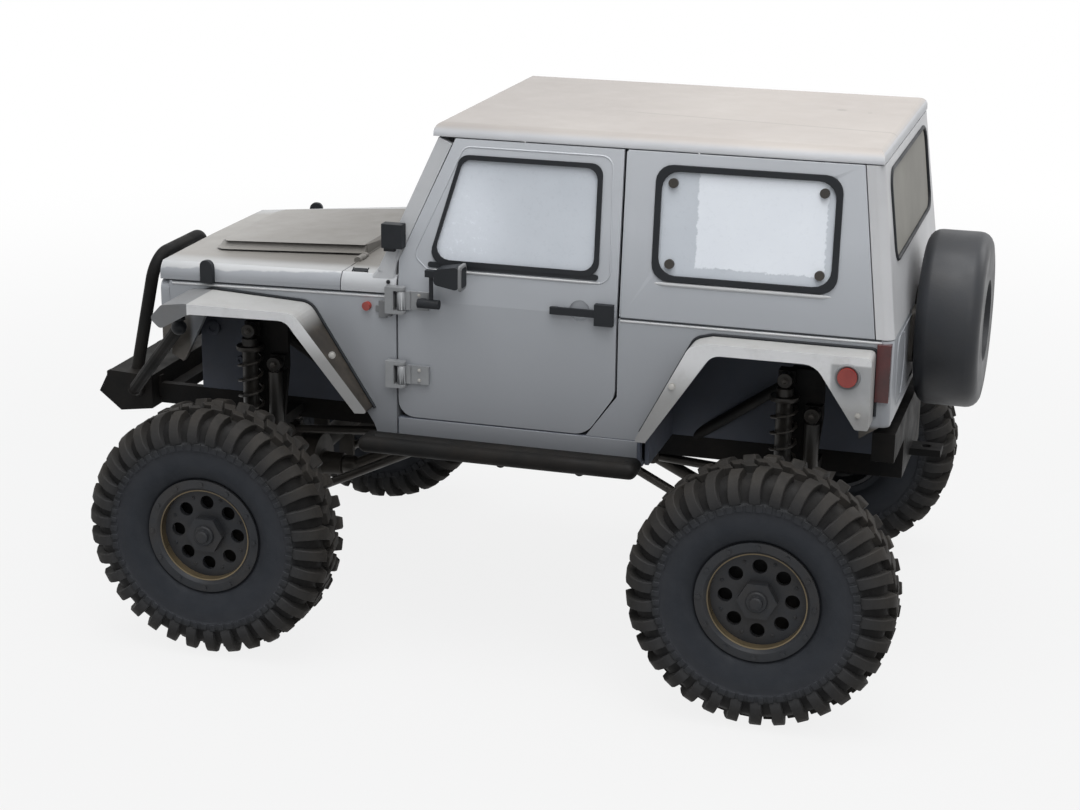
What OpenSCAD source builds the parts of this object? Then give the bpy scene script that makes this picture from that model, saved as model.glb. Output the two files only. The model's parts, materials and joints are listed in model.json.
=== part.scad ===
// Radio-controlled scale rock crawler: a hard-bodied short-wheelbase off-roader
// on lugged tyres, with hinged doors and hood, steered front wheels and a
// ladder chassis carried on coil-over dampers.
// Frame: +X forward, +Y left, +Z up, millimetres, origin on the ground under
// the middle of the overall length.

/* [Stance] */
// Distance between the front and rear axles
wheelbase = 303; // [290:1:315]
// Distance between the tyres' centre planes on one axle
track_w = 266; // [262:1:280]
// Diameter of a tyre over its lugs
tyre_d = 139; // [132:1:144]
// Width of a tyre across its side lugs
tyre_w = 44; // [40:1:46]
// Face of the grille to the nose of the front bumper
bumper_ahead = 56.5; // [53:0.5:60]
// Rear axle to the back of the spare wheel cover
rear_reach = 92; // [89:0.5:100]

/* [Body] */
// Width of the body across the doors
body_w = 196; // [190:1:200]
// Width across the nose
nose_w = 148; // [144:1:154]
// Width of the roof at its seam
roof_w = 177; // [172:1:182]
// Thickness of the moulded panels
wall = 2.4; // [2:0.1:3]
// Gap between neighbouring panels
seam = 0.6; // [0.4:0.05:0.9]
// Front axle back to the front edge of the doors
door_setback = 93; // [91:0.5:96]
// Length of a door along the belt
door_l = 121.5; // [116:0.5:126]
// Rear axle to the rear face of the body
tail_overhang = 54.5; // [50:0.5:56]
// Front edge of a door to the face of the grille
clip_l = 150; // [146:0.5:154]
// Height of the underside of the floor
floor_z = 116; // [113:0.5:118]
// Height of the bottom edge of the doors
door_z = 131.5; // [129:0.5:134]
// Height of the belt seam
belt_z = 197; // [193:0.5:200]
// Height of the seam under the roof
drip_z = 284; // [278:0.5:288]
// Height of the roof panel above its seam
roof_h = 7; // [5:0.5:9]

/* [Glass] */
// Height of the window sills above the belt
window_sill_h = 21; // [18:0.5:23]
// Height of the side windows
window_h = 57; // [50:0.5:60]
// Thickness of a window pane
pane_t = 1.6; // [1.2:0.1:2]

/* [Doors and hood] */
// Thickness of a door
door_t = 4; // [3:0.1:5]
// Diameter of a door hinge barrel
hinge_d = 5; // [4:0.2:6]
// Diameter of a hinge pin
hinge_pin_d = 2.4; // [2:0.1:3]
// Length of the cowl between the doors and the hood
cowl_l = 34.6; // [32:0.2:37]

/* [Wheels] */
// Diameter of the beadlock ring
ring_d = 64; // [60:0.5:66]
// Diameter of the wheel disc inside the ring
disc_d = 51; // [48:0.5:53]
// Depth of the wheel disc inside the tyre's side
disc_depth = 10.5; // [8:0.5:12]
// Number of round holes in a wheel
wheel_holes = 8; // [6:1:9]
// Diameter of the holes in a wheel
wheel_hole_d = 7.7; // [6:0.1:8.5]
// Diameter of a wheel spindle
spindle_d = 6; // [5:0.2:7]
// Number of lugs round one side of a tyre
lugs = 34; // [24:1:36]
// Depth of the lugs
lug_h = 4; // [3:0.25:5]

/* [Chassis] */
// Distance between the outer faces of the frame rails
rails_w = 73; // [69:1:76]
// Width of a frame rail
rail_t = 5; // [4:0.5:6]
// Height of a frame rail
rail_h = 12; // [10:0.5:14]
// Diameter of the axle tubes
axle_d = 12; // [10:0.5:14]
// Distance between the steering pivots
kingpin_w = 200; // [197:1:204]
// Length of a steering arm
steer_arm = 26; // [25:0.5:29]
// Distance between the dampers on one axle
damper_w = 150; // [146:1:154]
// Height of the upper damper eyes
damper_top_z = 165; // [160:0.5:170]
// Diameter of a damper body
damper_d = 9; // [8:0.5:10]
// Outer diameter of a coil spring
spring_d = 15.4; // [14.4:0.2:16.4]
// Diameter of the spring wire
spring_wire_d = 1.8; // [1.4:0.1:2.2]
// Turns in a coil spring
spring_turns = 7; // [5:1:9]
// Diameter of the hoop and strut tubes
tube_d = 7.4; // [6:0.2:8.4]

/* [Spare wheel] */
// Diameter of the spare wheel cover
spare_d = 95; // [90:1:100]
// Thickness of the spare wheel cover
spare_t = 34; // [30:0.5:36]

/* [Mounts] */
// Diameter of the towing eyes
tow_d = 5; // [4:0.1:5.6]

/* [Hidden] */
$fn = 64;

// One overrun for every cut
over = 1;
// Running clearance of a pin in its bore, on the radius
fit = 0.06;
// Clearance between pieces that face each other
clear = 0.3;

// Stations along the car
front_reach = clip_l - door_setback + bumper_ahead;
fx = (front_reach + wheelbase + rear_reach) / 2 - front_reach;
rx = fx - wheelbase;
door_fx = fx - door_setback;
door_rx = door_fx - door_l;
tail_x = rx - tail_overhang;
nose_x = door_fx + clip_l;
tyre_r = tyre_d / 2;
wheel_y = track_w / 2;
half_w = body_w / 2;
kingpin_y = kingpin_w / 2;
damper_y = damper_w / 2;
rail_y = rails_w / 2 - rail_t / 2;
rail_z = floor_z - rail_h / 2;

// Greenhouse: sides lean in, the rear face leans forward
upper_h = drip_z - belt_z;
tumble = atan((body_w - roof_w) / 2 / upper_h);
side_h = upper_h / cos(tumble);
tail_lean_share = 0.126;
tail_lean = atan(tail_lean_share);
roof_tail_x = tail_x + upper_h * tail_lean_share;
corner_r = 5;
corner_share = 1.9;

// Windscreen
rake = 24;
screen_t = 8;
screen_rise = 25;
screen_ahead = 7;
screen_z = belt_z + screen_rise;
screen_x = door_fx + screen_ahead;
screen_h = (drip_z - screen_z) / cos(rake);
header_x = screen_x - (drip_z - screen_z) * tan(rake);

// Front clip: sides taper to the nose, hood seam falls to the nose
taper = atan((body_w - nose_w) / 2 / clip_l);
clip_len = clip_l / cos(taper);
hood_rear_x = door_fx + cowl_l;
hood_fall = 3.6;
hood_seam_rise = 2;
hood_seam_z = belt_z + hood_seam_rise;
hood_side_h = 12;
hood_round_r = 9;

// Outline helpers: each point is [x, y, corner radius]
function unit(v) = v / norm(v);
function corner(a, p, b, steps) =
    let (r = p[2], q = [p[0], p[1]],
         u = unit([a[0], a[1]] - q), v = unit([b[0], b[1]] - q),
         half = acos(u * v) / 2)
    r == 0 ? [q] :
    let (c = q + unit(u + v) * r / sin(half),
         s = q + u * r / tan(half) - c, e = q + v * r / tan(half) - c,
         a0 = atan2(s[1], s[0]), turn = atan2(e[1], e[0]) - a0,
         sweep = turn > 180 ? turn - 360 : turn < -180 ? turn + 360 : turn)
    [for (k = [0:steps]) c + r * [cos(a0 + sweep * k / steps),
                                  sin(a0 + sweep * k / steps)]];
function rounded(p, steps = 5) =
    let (n = len(p))
    [for (i = [0:n - 1])
        each corner(p[(i + n - 1) % n], p[i], p[(i + 1) % n], steps)];
// Outline from a table of shares: origin, scale and one corner radius
function placed(shares, x0, z0, size, r = 0) =
    [for (s = shares) [x0 + s[0] * size, z0 + s[1] * size,
                       len(s) > 2 ? s[2] * size : r]];

module left_or_right(side) {
    if (side > 0) children();
    else mirror([0, 1, 0]) children();
}
module both() {
    children();
    mirror([0, 1, 0]) children();
}
// Upright panel drawn in x, z with its outer face at y, t thick inwards
module upright(y, t)
    translate([0, y, 0]) rotate([90, 0, 0]) linear_extrude(t) children();
// Panel of the greenhouse drawn in x and height up the leaning side
module leaning(t, inset = 0)
    translate([0, half_w, belt_z]) rotate([90 + tumble, 0, 0])
        translate([0, 0, inset]) linear_extrude(t) children();
// Panel of the front clip drawn in distance forward of the door and z
module tapering(t, inset = 0)
    translate([door_fx, half_w, 0]) rotate([0, 0, -taper])
        rotate([90, 0, 0]) translate([0, 0, inset])
            linear_extrude(t) children();
// Panel across the car drawn in y, z, from x forward by t
module crosswise(x, t)
    translate([x, 0, 0]) rotate([90, 0, 90]) linear_extrude(t) children();
module box(lo, hi) translate(lo) cube(hi - lo);
// Round bar from a to b
module rod(a, b, d) {
    v = b - a;
    translate(a) rotate([0, acos(v[2] / norm(v)), atan2(v[1], v[0])])
        cylinder(h = norm(v), d = d);
}
// Twelve-sided bar from a to b
module strut(a, b, d) {
    v = b - a;
    translate(a) rotate([0, acos(v[2] / norm(v)), atan2(v[1], v[0])])
        cylinder(h = norm(v), d = d, $fn = 12);
}
// Cylinder along y, centred at p
module across(p, d, l)
    translate(p) rotate([90, 0, 0]) cylinder(h = l, d = d, center = true);

// Tyres and wheels, drawn about the origin with the outer side at +y

// Tyre section from bead to lug tip: [share of the height, share of half width]
tyre_shares = [[0, 0.72], [0.12, 0.72], [0.16, 0.84], [0.3, 0.94], [0.55, 0.95],
               [0.6, 1], [0.78, 0.97], [0.92, 0.86], [1, 0.6]];
// Floor of the gaps between lugs, from the wall to the tread's middle
gap_shares = [[0.55, 1.1], [0.6, 0.93], [0.76, 0.85], [0.88, 0.7]];
bead_depth = 3.5;
bead_r = ring_d / 2 - bead_depth;
bead_y = tyre_w / 2 * tyre_shares[0][1];
lug_gap_share = 0.5;
lug_centre_share = 0.08;
function tyre_point(share) =
    [bead_r + (tyre_r - bead_r) * share[0], tyre_w / 2 * share[1]];

module round_about_y(points, angle = 360)
    rotate([-90, 0, 0]) rotate_extrude(angle = angle, $fn = 96) polygon(points);

module tyre() color("#3a3d41") difference() {
    section = [for (s = tyre_shares) tyre_point(s)];
    n = len(section);
    round_about_y(concat(section,
        [for (i = [n - 1:-1:0]) [section[i][0], -section[i][1]]]));
    // Gaps of the two sides, staggered by half a pitch
    pitch = 360 / lugs;
    edge = tyre_r + over;
    gap = concat([for (s = gap_shares) tyre_point(s)],
        [[tyre_r - lug_h, tyre_w / 2 * lug_centre_share],
         [edge, tyre_w / 2 * lug_centre_share],
         [edge, tyre_point(gap_shares[0])[1]]]);
    for (side = [0, 1]) mirror([0, side, 0]) for (i = [0:lugs - 1])
        rotate([0, pitch * (i + side / 2), 0])
            round_about_y(gap, pitch * lug_gap_share);
}

hub_d = 15;
hub_l = 20;
hex_d = 21;
hex_t = 5;
barrel_t = 2;
disc_t = 3;
hole_ring_share = 0.68;
bead_bolts = 12;
bead_bolt_d = 2.4;
bead_bolt_h = 1.2;

module wheel() {
    ring_y = bead_y;
    disc_y = tyre_w / 2 - disc_depth;
    barrel_r = bead_r - clear;
    color("#4a4b4d") difference() {
        union() {
            round_about_y([
                [barrel_r, -ring_y], [barrel_r, ring_y + clear],
                [ring_d / 2, ring_y + clear], [ring_d / 2, ring_y + barrel_t],
                [disc_d / 2 + barrel_t, ring_y + barrel_t + clear],
                [disc_d / 2, ring_y], [disc_d / 2, disc_y],
                [0, disc_y], [0, disc_y - disc_t],
                [disc_d / 2, disc_y - disc_t], [barrel_r - barrel_t, 0],
                [barrel_r - barrel_t, -ring_y]]);
            translate([0, disc_y - hub_l, 0]) rotate([-90, 0, 0])
                cylinder(h = hub_l, d = hub_d);
            translate([0, disc_y, 0]) rotate([-90, 0, 0])
                cylinder(h = hex_t, d = hex_d, $fn = 6);
            // Bolts round the beadlock ring
            for (i = [0:bead_bolts - 1]) rotate([0, 360 / bead_bolts * i, 0])
                across([(ring_d + disc_d + 2 * barrel_t) / 4,
                        ring_y + barrel_t, 0], bead_bolt_d, 2 * bead_bolt_h);
        }
        for (i = [0:wheel_holes - 1])
            rotate([0, 360 / wheel_holes * i, 0])
                across([disc_d / 2 * hole_ring_share, disc_y, 0],
                       wheel_hole_d, hub_l);
        translate([0, disc_y - hub_l - over, 0]) rotate([-90, 0, 0])
            cylinder(h = hub_l + over, d = spindle_d + 2 * fit);
    }
}

module at_wheel(x, side) translate([x, 0, tyre_r]) left_or_right(side)
    translate([0, wheel_y, 0]) children();

module tyre_front_left() at_wheel(fx, 1) tyre();
module tyre_front_right() at_wheel(fx, -1) tyre();
module tyre_rear_left() at_wheel(rx, 1) tyre();
module tyre_rear_right() at_wheel(rx, -1) tyre();
module wheel_front_left() at_wheel(fx, 1) wheel();
module wheel_front_right() at_wheel(fx, -1) wheel();
module wheel_rear_left() at_wheel(rx, 1) wheel();
module wheel_rear_right() at_wheel(rx, -1) wheel();

// Where a wheel's hub and spindle meet
hub_in_y = wheel_y + tyre_w / 2 - disc_depth - hub_l;
spindle_end_y = hub_in_y + hub_l - clear;
stub_d = 12;

// Axles, knuckles and steering

knuckle_d = 16;
knuckle_h = 25;
prong_t = 4;
kingpin_d = 4;
yoke_w = 14;
diff_d = 34;
diff_w = 30;
diff_y = 14;
snout_d = 13;
snout_l = 28;
arm_w = 7;
arm_t = 3;
ball_d = 3.6;
ball_h = 5;
rod_end_d = 8;
rod_end_h = 4;
tie_d = 4.4;
steer_rise = 3;
steer_z = tyre_r + steer_rise;

// Brackets with lateral pins for links and dampers
pin_d = 3;
eye_d = 8;
eye_t = 6;
bracket_t = 3;
bracket_w = 9;
low_link_y = 52;
low_link_drop = 6;
low_link_z = tyre_r - axle_d / 2 - low_link_drop;
top_link_y = 26;
top_link_rise = 6;
top_link_z = tyre_r + diff_d / 2 + top_link_rise;
damper_rise = 6;
damper_low_z = tyre_r + axle_d / 2 + damper_rise;
damper_dx = 3;
side_damper_dx = -12;
side_damper_top_z = 147;

// Plate beside an eye at p, reaching to z_to, with a pin through the eye
module pin_plate(p, z_to) {
    inner_y = p[1] - eye_t / 2 - clear - bracket_t;
    box([p[0] - bracket_w / 2, inner_y, min(p[2] - eye_d / 2, z_to)],
        [p[0] + bracket_w / 2, inner_y + bracket_t,
         max(p[2] + eye_d / 2, z_to)]);
    across([p[0], inner_y + (bracket_t + eye_t) / 2 + clear, p[2]],
           pin_d, bracket_t + eye_t + 2 * clear);
}
module eye(p) difference() {
    across(p, eye_d, eye_t);
    across(p, pin_d + 2 * fit, eye_t + over);
}

// Axle tube with its differential, link brackets and damper brackets;
// back is the side that the propeller shaft comes from
module axle_beam(x, end_y, back) {
    rod([x, -end_y, tyre_r], [x, end_y, tyre_r], axle_d);
    translate([x, diff_y, tyre_r]) rotate([0, 90, 0])
        cylinder(h = diff_w, d = diff_d, center = true);
    translate([x, diff_y, tyre_r]) sphere(d = diff_d);
    rod([x, diff_y, tyre_r], [x + back * snout_l, diff_y, tyre_r], snout_d);
    both() {
        pin_plate([x + back * axle_d / 2, low_link_y, low_link_z], tyre_r);
        pin_plate([x, top_link_y, top_link_z], tyre_r);
        pin_plate([x + damper_dx, damper_y, damper_low_z], tyre_r);
        pin_plate([x + side_damper_dx, damper_y, damper_low_z],
                  damper_low_z);
        // Shelf that carries the damper brackets
        box([x + side_damper_dx - bracket_w / 2,
             damper_y - eye_t / 2 - clear - bracket_t, tyre_r],
            [x + damper_dx + bracket_w / 2,
             damper_y - eye_t / 2 - clear, damper_low_z]);
    }
}

module front_axle() color("#2f2c28") {
    yoke_in = kingpin_y - knuckle_d / 2 - clear - prong_t;
    axle_beam(fx, yoke_in, -1);
    both() {
        box([fx - yoke_w / 2, yoke_in,
             tyre_r - knuckle_h / 2 - clear - prong_t],
            [fx + yoke_w / 2, yoke_in + prong_t,
             tyre_r + knuckle_h / 2 + clear + prong_t]);
        for (s = [-1, 1]) translate([fx, 0, tyre_r]) {
            mirror([0, 0, s < 0 ? 1 : 0]) {
                box([-yoke_w / 2, yoke_in, knuckle_h / 2 + clear],
                    [yoke_w / 2, kingpin_y + kingpin_d,
                     knuckle_h / 2 + clear + prong_t]);
                rod([0, kingpin_y, knuckle_h / 2 - knuckle_h / 4],
                    [0, kingpin_y, knuckle_h / 2 + clear + prong_t / 2],
                    kingpin_d);
            }
        }
    }
}

module rear_axle() color("#2f2c28") {
    axle_beam(rx, hub_in_y - clear, 1);
    both() rod([rx, hub_in_y - clear, tyre_r], [rx, spindle_end_y, tyre_r],
               spindle_d);
}

module knuckle() {
    color("#34312d") {
        difference() {
            translate([fx, kingpin_y, tyre_r])
                cylinder(h = knuckle_h, d = knuckle_d, center = true);
            translate([fx, kingpin_y, tyre_r])
                cylinder(h = knuckle_h + over, d = kingpin_d + 2 * fit,
                         center = true);
        }
        rod([fx, kingpin_y + kingpin_d, tyre_r],
            [fx, hub_in_y - clear, tyre_r], stub_d);
        rod([fx, hub_in_y - clear, tyre_r], [fx, spindle_end_y, tyre_r],
            spindle_d);
        // Steering arm with its upright ball pin
        difference() {
            box([fx, kingpin_y - arm_w / 2, steer_z - arm_t / 2],
                [fx + steer_arm + arm_w / 2, kingpin_y + arm_w / 2,
                 steer_z + arm_t / 2]);
            translate([fx, kingpin_y, tyre_r])
                cylinder(h = knuckle_h, d = knuckle_d / 2, center = true);
        }
        translate([fx + steer_arm, kingpin_y, steer_z])
            cylinder(h = ball_h + arm_t / 2, d = ball_d);
    }
}
module knuckle_left() knuckle();
module knuckle_right() mirror([0, 1, 0]) knuckle();

module tie_rod() color("#5b5d60") {
    z = steer_z + arm_t / 2 + clear;
    difference() {
        union() {
            rod([fx + steer_arm, -kingpin_y, z + rod_end_h / 2],
                [fx + steer_arm, kingpin_y, z + rod_end_h / 2], tie_d);
            both() translate([fx + steer_arm, kingpin_y, z])
                cylinder(h = rod_end_h, d = rod_end_d);
        }
        both() translate([fx + steer_arm, kingpin_y, z - over])
            cylinder(h = rod_end_h + 2 * over, d = ball_d + 2 * fit);
    }
}

// Chassis

bumper_depth = 34;
rail_gap = 1.5;
rail_front = front_reach - bumper_depth - rail_gap;
rail_rear = 44;
cross_w = 8;
deck_t = 2.4;
deck_front = 46;
skid_front = 98;
skid_rear = 98;
skid_l = wheelbase - skid_front - skid_rear;
skid_drop = 14;
skid_t = 3;
chassis_link_drop = 5;
chassis_link_z = rail_z - rail_h / 2 - chassis_link_drop;
link_d = 5;
link_low_back = 96;
link_top_back = 84;
chassis_link_y = rails_w / 2 + eye_t / 2 + clear + bracket_t;

module frame_rails() color("#26272a") {
    x0 = rx - rail_rear;
    x1 = fx + rail_front;
    both() box([x0, rail_y - rail_t / 2, rail_z - rail_h / 2],
               [x1, rail_y + rail_t / 2, rail_z + rail_h / 2]);
    for (x = [x0, rx + link_top_back - cross_w / 2, fx + rail_front - cross_w])
        box([x, -rail_y, rail_z - rail_h / 2 + rail_h / 4],
            [x + cross_w, rail_y, rail_z + rail_h / 4]);
    // Deck under the motor and the battery
    box([door_fx + wall, -rail_y, rail_z + rail_h / 2 - deck_t],
        [fx + deck_front, rail_y, rail_z + rail_h / 2]);
    // Plates and pins for the suspension links
    both() for (e = [[fx, -1], [rx, 1]]) {
        pin_plate([e[0] + e[1] * link_low_back, chassis_link_y,
                   chassis_link_z], rail_z);
        pin_plate([e[0] + e[1] * link_top_back, top_link_y, chassis_link_z],
                  rail_z + rail_h / 2 - deck_t / 2);
    }
}

module skid_plate() color("#202124") {
    x1 = fx - skid_front;
    top = rail_z - rail_h / 2;
    difference() {
        box([x1 - skid_l, -rails_w / 2, top - skid_drop],
            [x1, rails_w / 2, top]);
        box([x1 - skid_l - over, -rails_w / 2 + rail_t,
             top - skid_drop + skid_t],
            [x1 + over, rails_w / 2 - rail_t, top + over]);
    }
}

gearbox_gap = 31;
gearbox_h = 24;
gearbox_w = 46;
shaft_d = 7;
joint_d = 11;
joint_l = 12;
gearbox_l = wheelbase - skid_front - 2 * joint_l - gearbox_gap
            - link_top_back - cross_w / 2;

module gearbox() color("#303236") {
    x1 = fx - skid_front - joint_l * 2;
    z0 = rail_z - rail_h / 2 - skid_drop + skid_t;
    box([x1 - gearbox_l, -gearbox_w / 2, z0],
        [x1, gearbox_w / 2, z0 + gearbox_h - deck_t]);
    zc = z0 + gearbox_h / 2;
    rod([x1 - gearbox_l - joint_l / 2, diff_y, zc],
        [x1 + joint_l / 2, diff_y, zc], joint_d);
}

module driveshafts() color("#6a6258") {
    z0 = rail_z - rail_h / 2 - skid_drop + skid_t + gearbox_h / 2;
    x1 = fx - skid_front - joint_l * 2;
    for (e = [[fx - snout_l - clear, x1 + joint_l / 2 + clear, -1],
              [rx + snout_l + clear, x1 - gearbox_l - joint_l / 2 - clear, 1]]) {
        a = [e[0] + e[2] * joint_l / 2, diff_y, tyre_r];
        b = [e[1] - e[2] * joint_l / 2, diff_y, z0];
        rod(a, b, shaft_d);
        rod([e[0], diff_y, tyre_r], a, joint_d);
        rod(b, [e[1], diff_y, z0], joint_d);
        translate(a) sphere(d = joint_d);
        translate(b) sphere(d = joint_d);
    }
}

motor_d = 36;
motor_l = 52;
battery_l = 66;
battery_w = 46;
battery_h = 26;

module motor() color("#55585c") {
    x0 = door_fx + wall + wall;
    z = floor_z + motor_d / 2;
    translate([x0, 0, z]) rotate([0, 90, 0]) cylinder(h = motor_l, d = motor_d);
    box([x0, -motor_d / 4, floor_z], [x0 + motor_l, motor_d / 4, z]);
}

module battery() color("#2b3a5c")
    box([fx + deck_front - battery_l, -battery_w / 2, floor_z],
        [fx + deck_front, battery_w / 2, floor_z + battery_h]);

// Towers: an upright plate beside the upper damper eyes, a foot on the frame
// rail and a long round brace
tower_d = 6.4;
tower_foot_l = 16;
tower_foot_t = 6;
brace_l = 66;

module shock_towers() color("#232427")
    for (e = [[fx, -1], [rx, 1]]) both() {
        plate_y = damper_y - spring_d / 2 - clear;
        head_y = damper_y - eye_t / 2 - clear;
        foot_y = rails_w / 2;
        x0 = e[0] + side_damper_dx - bracket_w / 2;
        x1 = e[0] + damper_dx + bracket_w / 2;
        foot_x = (x0 + x1) / 2;
        upright(plate_y, bracket_t) polygon([
            [foot_x - tower_foot_l / 2, rail_z - tower_foot_t / 2],
            [foot_x + tower_foot_l / 2, rail_z - tower_foot_t / 2],
            [x1, damper_top_z - eye_d / 2], [x1, damper_top_z + eye_d / 2],
            [x0, damper_top_z + eye_d / 2],
            [x0, side_damper_top_z - eye_d / 2]]);
        box([foot_x - tower_foot_l / 2, foot_y, rail_z - tower_foot_t / 2],
            [foot_x + tower_foot_l / 2, plate_y - bracket_t / 2,
             rail_z + tower_foot_t / 2]);
        // A boss and a pin for each upper eye
        for (q = [[damper_dx, damper_top_z],
                  [side_damper_dx, side_damper_top_z]]) {
            box([e[0] + q[0] - bracket_w / 2, plate_y - bracket_t / 2,
                 q[1] - eye_d / 2],
                [e[0] + q[0] + bracket_w / 2, head_y, q[1] + eye_d / 2]);
            across([e[0] + q[0], head_y + eye_t / 2 + clear - bracket_t / 2,
                    q[1]], pin_d, bracket_t + eye_t + 2 * clear);
        }
        // Brace from a block behind the plate to the rail
        head = [foot_x, plate_y - bracket_t - tower_d / 2, damper_top_z];
        box(head - [tower_d, tower_d / 2 + clear, tower_d],
            head + [tower_d, tower_d / 2 + fit, tower_d / 2]);
        difference() {
            rod(head, [e[0] + e[1] * brace_l, foot_y - tower_d, rail_z],
                tower_d);
            box([e[0] - wheelbase, 0, 0],
                [e[0] + wheelbase, foot_y, damper_top_z]);
        }
    }

// Links: axle eye to chassis eye
module link(a, b) {
    eye(a);
    eye(b);
    v = unit(b - a);
    rod(a + v * (eye_d / 2 - clear), b - v * (eye_d / 2 - clear), link_d);
}
module suspension_links() color("#3c3a37")
    for (e = [[fx, -1], [rx, 1]]) both() {
        link([e[0] + e[1] * axle_d / 2, low_link_y, low_link_z],
             [e[0] + e[1] * link_low_back, chassis_link_y, chassis_link_z]);
        link([e[0], top_link_y, top_link_z],
             [e[0] + e[1] * link_top_back, top_link_y, chassis_link_z]);
    }

cap_h = 7;
perch_t = 2.5;
perch_gap = 8;
rod_d = 3;

module damper(x, top_z, body_l, d) {
    eye([x, damper_y, damper_low_z]);
    eye([x, damper_y, top_z]);
    low = damper_low_z + eye_d / 2 - clear;
    high = top_z - eye_d / 2 - clear;
    rod([x, damper_y, high - clear], [x, damper_y, high + eye_d / 4],
        eye_t - 2 * clear);
    rod([x, damper_y, low], [x, damper_y, high - body_l + clear], rod_d);
    rod([x, damper_y, high - body_l], [x, damper_y, high], d);
}
damper_body_l = 40;
side_body_l = 34;
side_damper_d = 8;
spring_low_z = damper_low_z + eye_d / 2 + perch_t + perch_gap / 4;
spring_top_z = damper_top_z - eye_d / 2 - cap_h;

module dampers() color("#2c2b29")
    for (x = [fx, rx]) both() {
        damper(x + damper_dx, damper_top_z, damper_body_l, damper_d);
        for (z = [spring_low_z - perch_t, spring_top_z])
            translate([x + damper_dx, damper_y, z])
                cylinder(h = perch_t, d = spring_d);
    }
module side_dampers() color("#33322f")
    for (x = [fx, rx]) both()
        damper(x + side_damper_dx, side_damper_top_z, side_body_l,
               side_damper_d);

// Coil: rings of a many-sided wire section along a helix
coil_steps = 10;
wire_sides = 5;
module coil(h) {
    r = (spring_d - spring_wire_d) / 2;
    n = spring_turns * coil_steps;
    points = [for (i = [0:n], k = [0:wire_sides - 1])
        let (a = 360 * i / coil_steps, w = 360 * k / wire_sides,
             q = r + spring_wire_d / 2 * cos(w))
        [q * cos(a), q * sin(a),
         spring_wire_d / 2 * (1 + sin(w)) + (h - spring_wire_d) * i / n]];
    sides = [for (i = [0:n - 1], k = [0:wire_sides - 1])
        let (a = i * wire_sides + k,
             b = i * wire_sides + (k + 1) % wire_sides)
        each [[a, b, b + wire_sides], [a, b + wire_sides, a + wire_sides]]];
    ends = [[for (k = [wire_sides - 1:-1:0]) k],
            [for (k = [0:wire_sides - 1]) n * wire_sides + k]];
    polyhedron(points, concat(sides, ends));
}
module coil_springs() color("#3f3b36")
    for (x = [fx, rx]) both()
        translate([x + damper_dx, damper_y, spring_low_z])
            coil(spring_top_z - spring_low_z);

// Bumpers and sliders

// Bumper bar outline: [share of bar depth back from the nose, share of height]
bumper_bar_shares = [[0, 0.45], [0.4, 0], [1, 0.12], [1, 0.95], [0.2, 1]];
bumper_h = 24;
bumper_z = 100;
bumper_half = 46;
wing_inset = 12;
wing_reach = 17.6;
wing_set = 5;
wing_back = 18.75;
strut_back_share = 0.7;
tow_lug_drop = 6;
tow_lug_rise = 8;
hoop_half = 34;
hoop_top_z = 196;
hoop_back = 18;
hoop_bend_r = 14;
tow_t = 5;

module hoop() {
    base = [fx + front_reach - bumper_depth / 2, 0, bumper_z + bumper_h / 2];
    lean = atan(hoop_back / (hoop_top_z - base[2]));
    leg = (hoop_top_z - tube_d / 2 - base[2]) / cos(lean) - hoop_bend_r;
    translate(base) rotate([0, -lean, 0]) {
        both() {
            translate([0, hoop_half, 0]) cylinder(h = leg, d = tube_d);
            translate([0, hoop_half - hoop_bend_r, leg])
                rotate([90, 0, 90]) rotate_extrude(angle = 90)
                    translate([hoop_bend_r, 0]) circle(d = tube_d);
        }
        across([0, 0, leg + hoop_bend_r], tube_d,
               2 * (hoop_half - hoop_bend_r));
    }
}

module front_bumper() color("#2a2927") {
    nose = fx + front_reach;
    upright(bumper_half, 2 * bumper_half) polygon(
        [for (s = bumper_bar_shares)
            [nose - bumper_depth * s[0], bumper_z + bumper_h * s[1]]]);
    hoop();
    // Arms back to the frame rails
    both() box([fx + rail_front, rail_y - rail_t / 2, bumper_z + tube_d],
               [nose - bumper_depth / 2, rail_y + rail_t / 2,
                bumper_z + bumper_h - tube_d / 2]);
    // Wings: two struts up to the front of each flare
    both() {
        a = [nose - bumper_depth * strut_back_share,
             bumper_half - tube_d / 2, bumper_z + bumper_h / 2];
        b = [nose_x - wing_back, nose_w / 2 + wing_reach,
             belt_z + tyre_d * flare_chin_share[1] - wing_set];
        m = [a[0] - tube_d, nose_w / 2 - wing_inset, a[2] + tube_d];
        strut(a, m + unit(m - a) * tube_d / 4, tube_d);
        strut(m - unit(b - m) * tube_d / 4, b, tube_d - clear);
    }
    // Towing lugs
    both() box([nose - bumper_depth / 2, bumper_half - tow_t * 3,
                bumper_z + bumper_h / 2 - tow_lug_drop],
               [nose, bumper_half - tow_t * 2,
                bumper_z + bumper_h / 2 + tow_lug_rise]);
}

rear_bar_h = 16;
rear_bar_t = 12;
rear_bar_half = 78;
rear_bar_z = 126;
drawbar_w = 14;
drawbar_t = 4;
drawbar_l = 17;

module rear_bumper() color("#26282b") {
    x = rx - rail_rear;
    difference() {
        union() {
            box([x - rear_bar_t, -rear_bar_half, rear_bar_z],
                [x, rear_bar_half, rear_bar_z + rear_bar_h]);
            both() box([x - rear_bar_t, rail_y - rail_t / 2,
                        rail_z - rail_h / 2],
                       [x, rail_y + rail_t / 2, rear_bar_z]);
            box([x - rear_bar_t, -rail_y, rail_z - rail_h / 2],
                [x - rear_bar_t / 2, rail_y, rear_bar_z]);
            box([x - rear_bar_t - drawbar_l, -drawbar_w / 2,
                 rail_z - drawbar_t / 2],
                [x - rear_bar_t, drawbar_w / 2, rail_z + drawbar_t / 2]);
        }
        translate([x - rear_bar_t - drawbar_l / 2, 0, rail_z])
            cylinder(h = drawbar_t + over, d = tow_d, center = true);
    }
}

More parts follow.
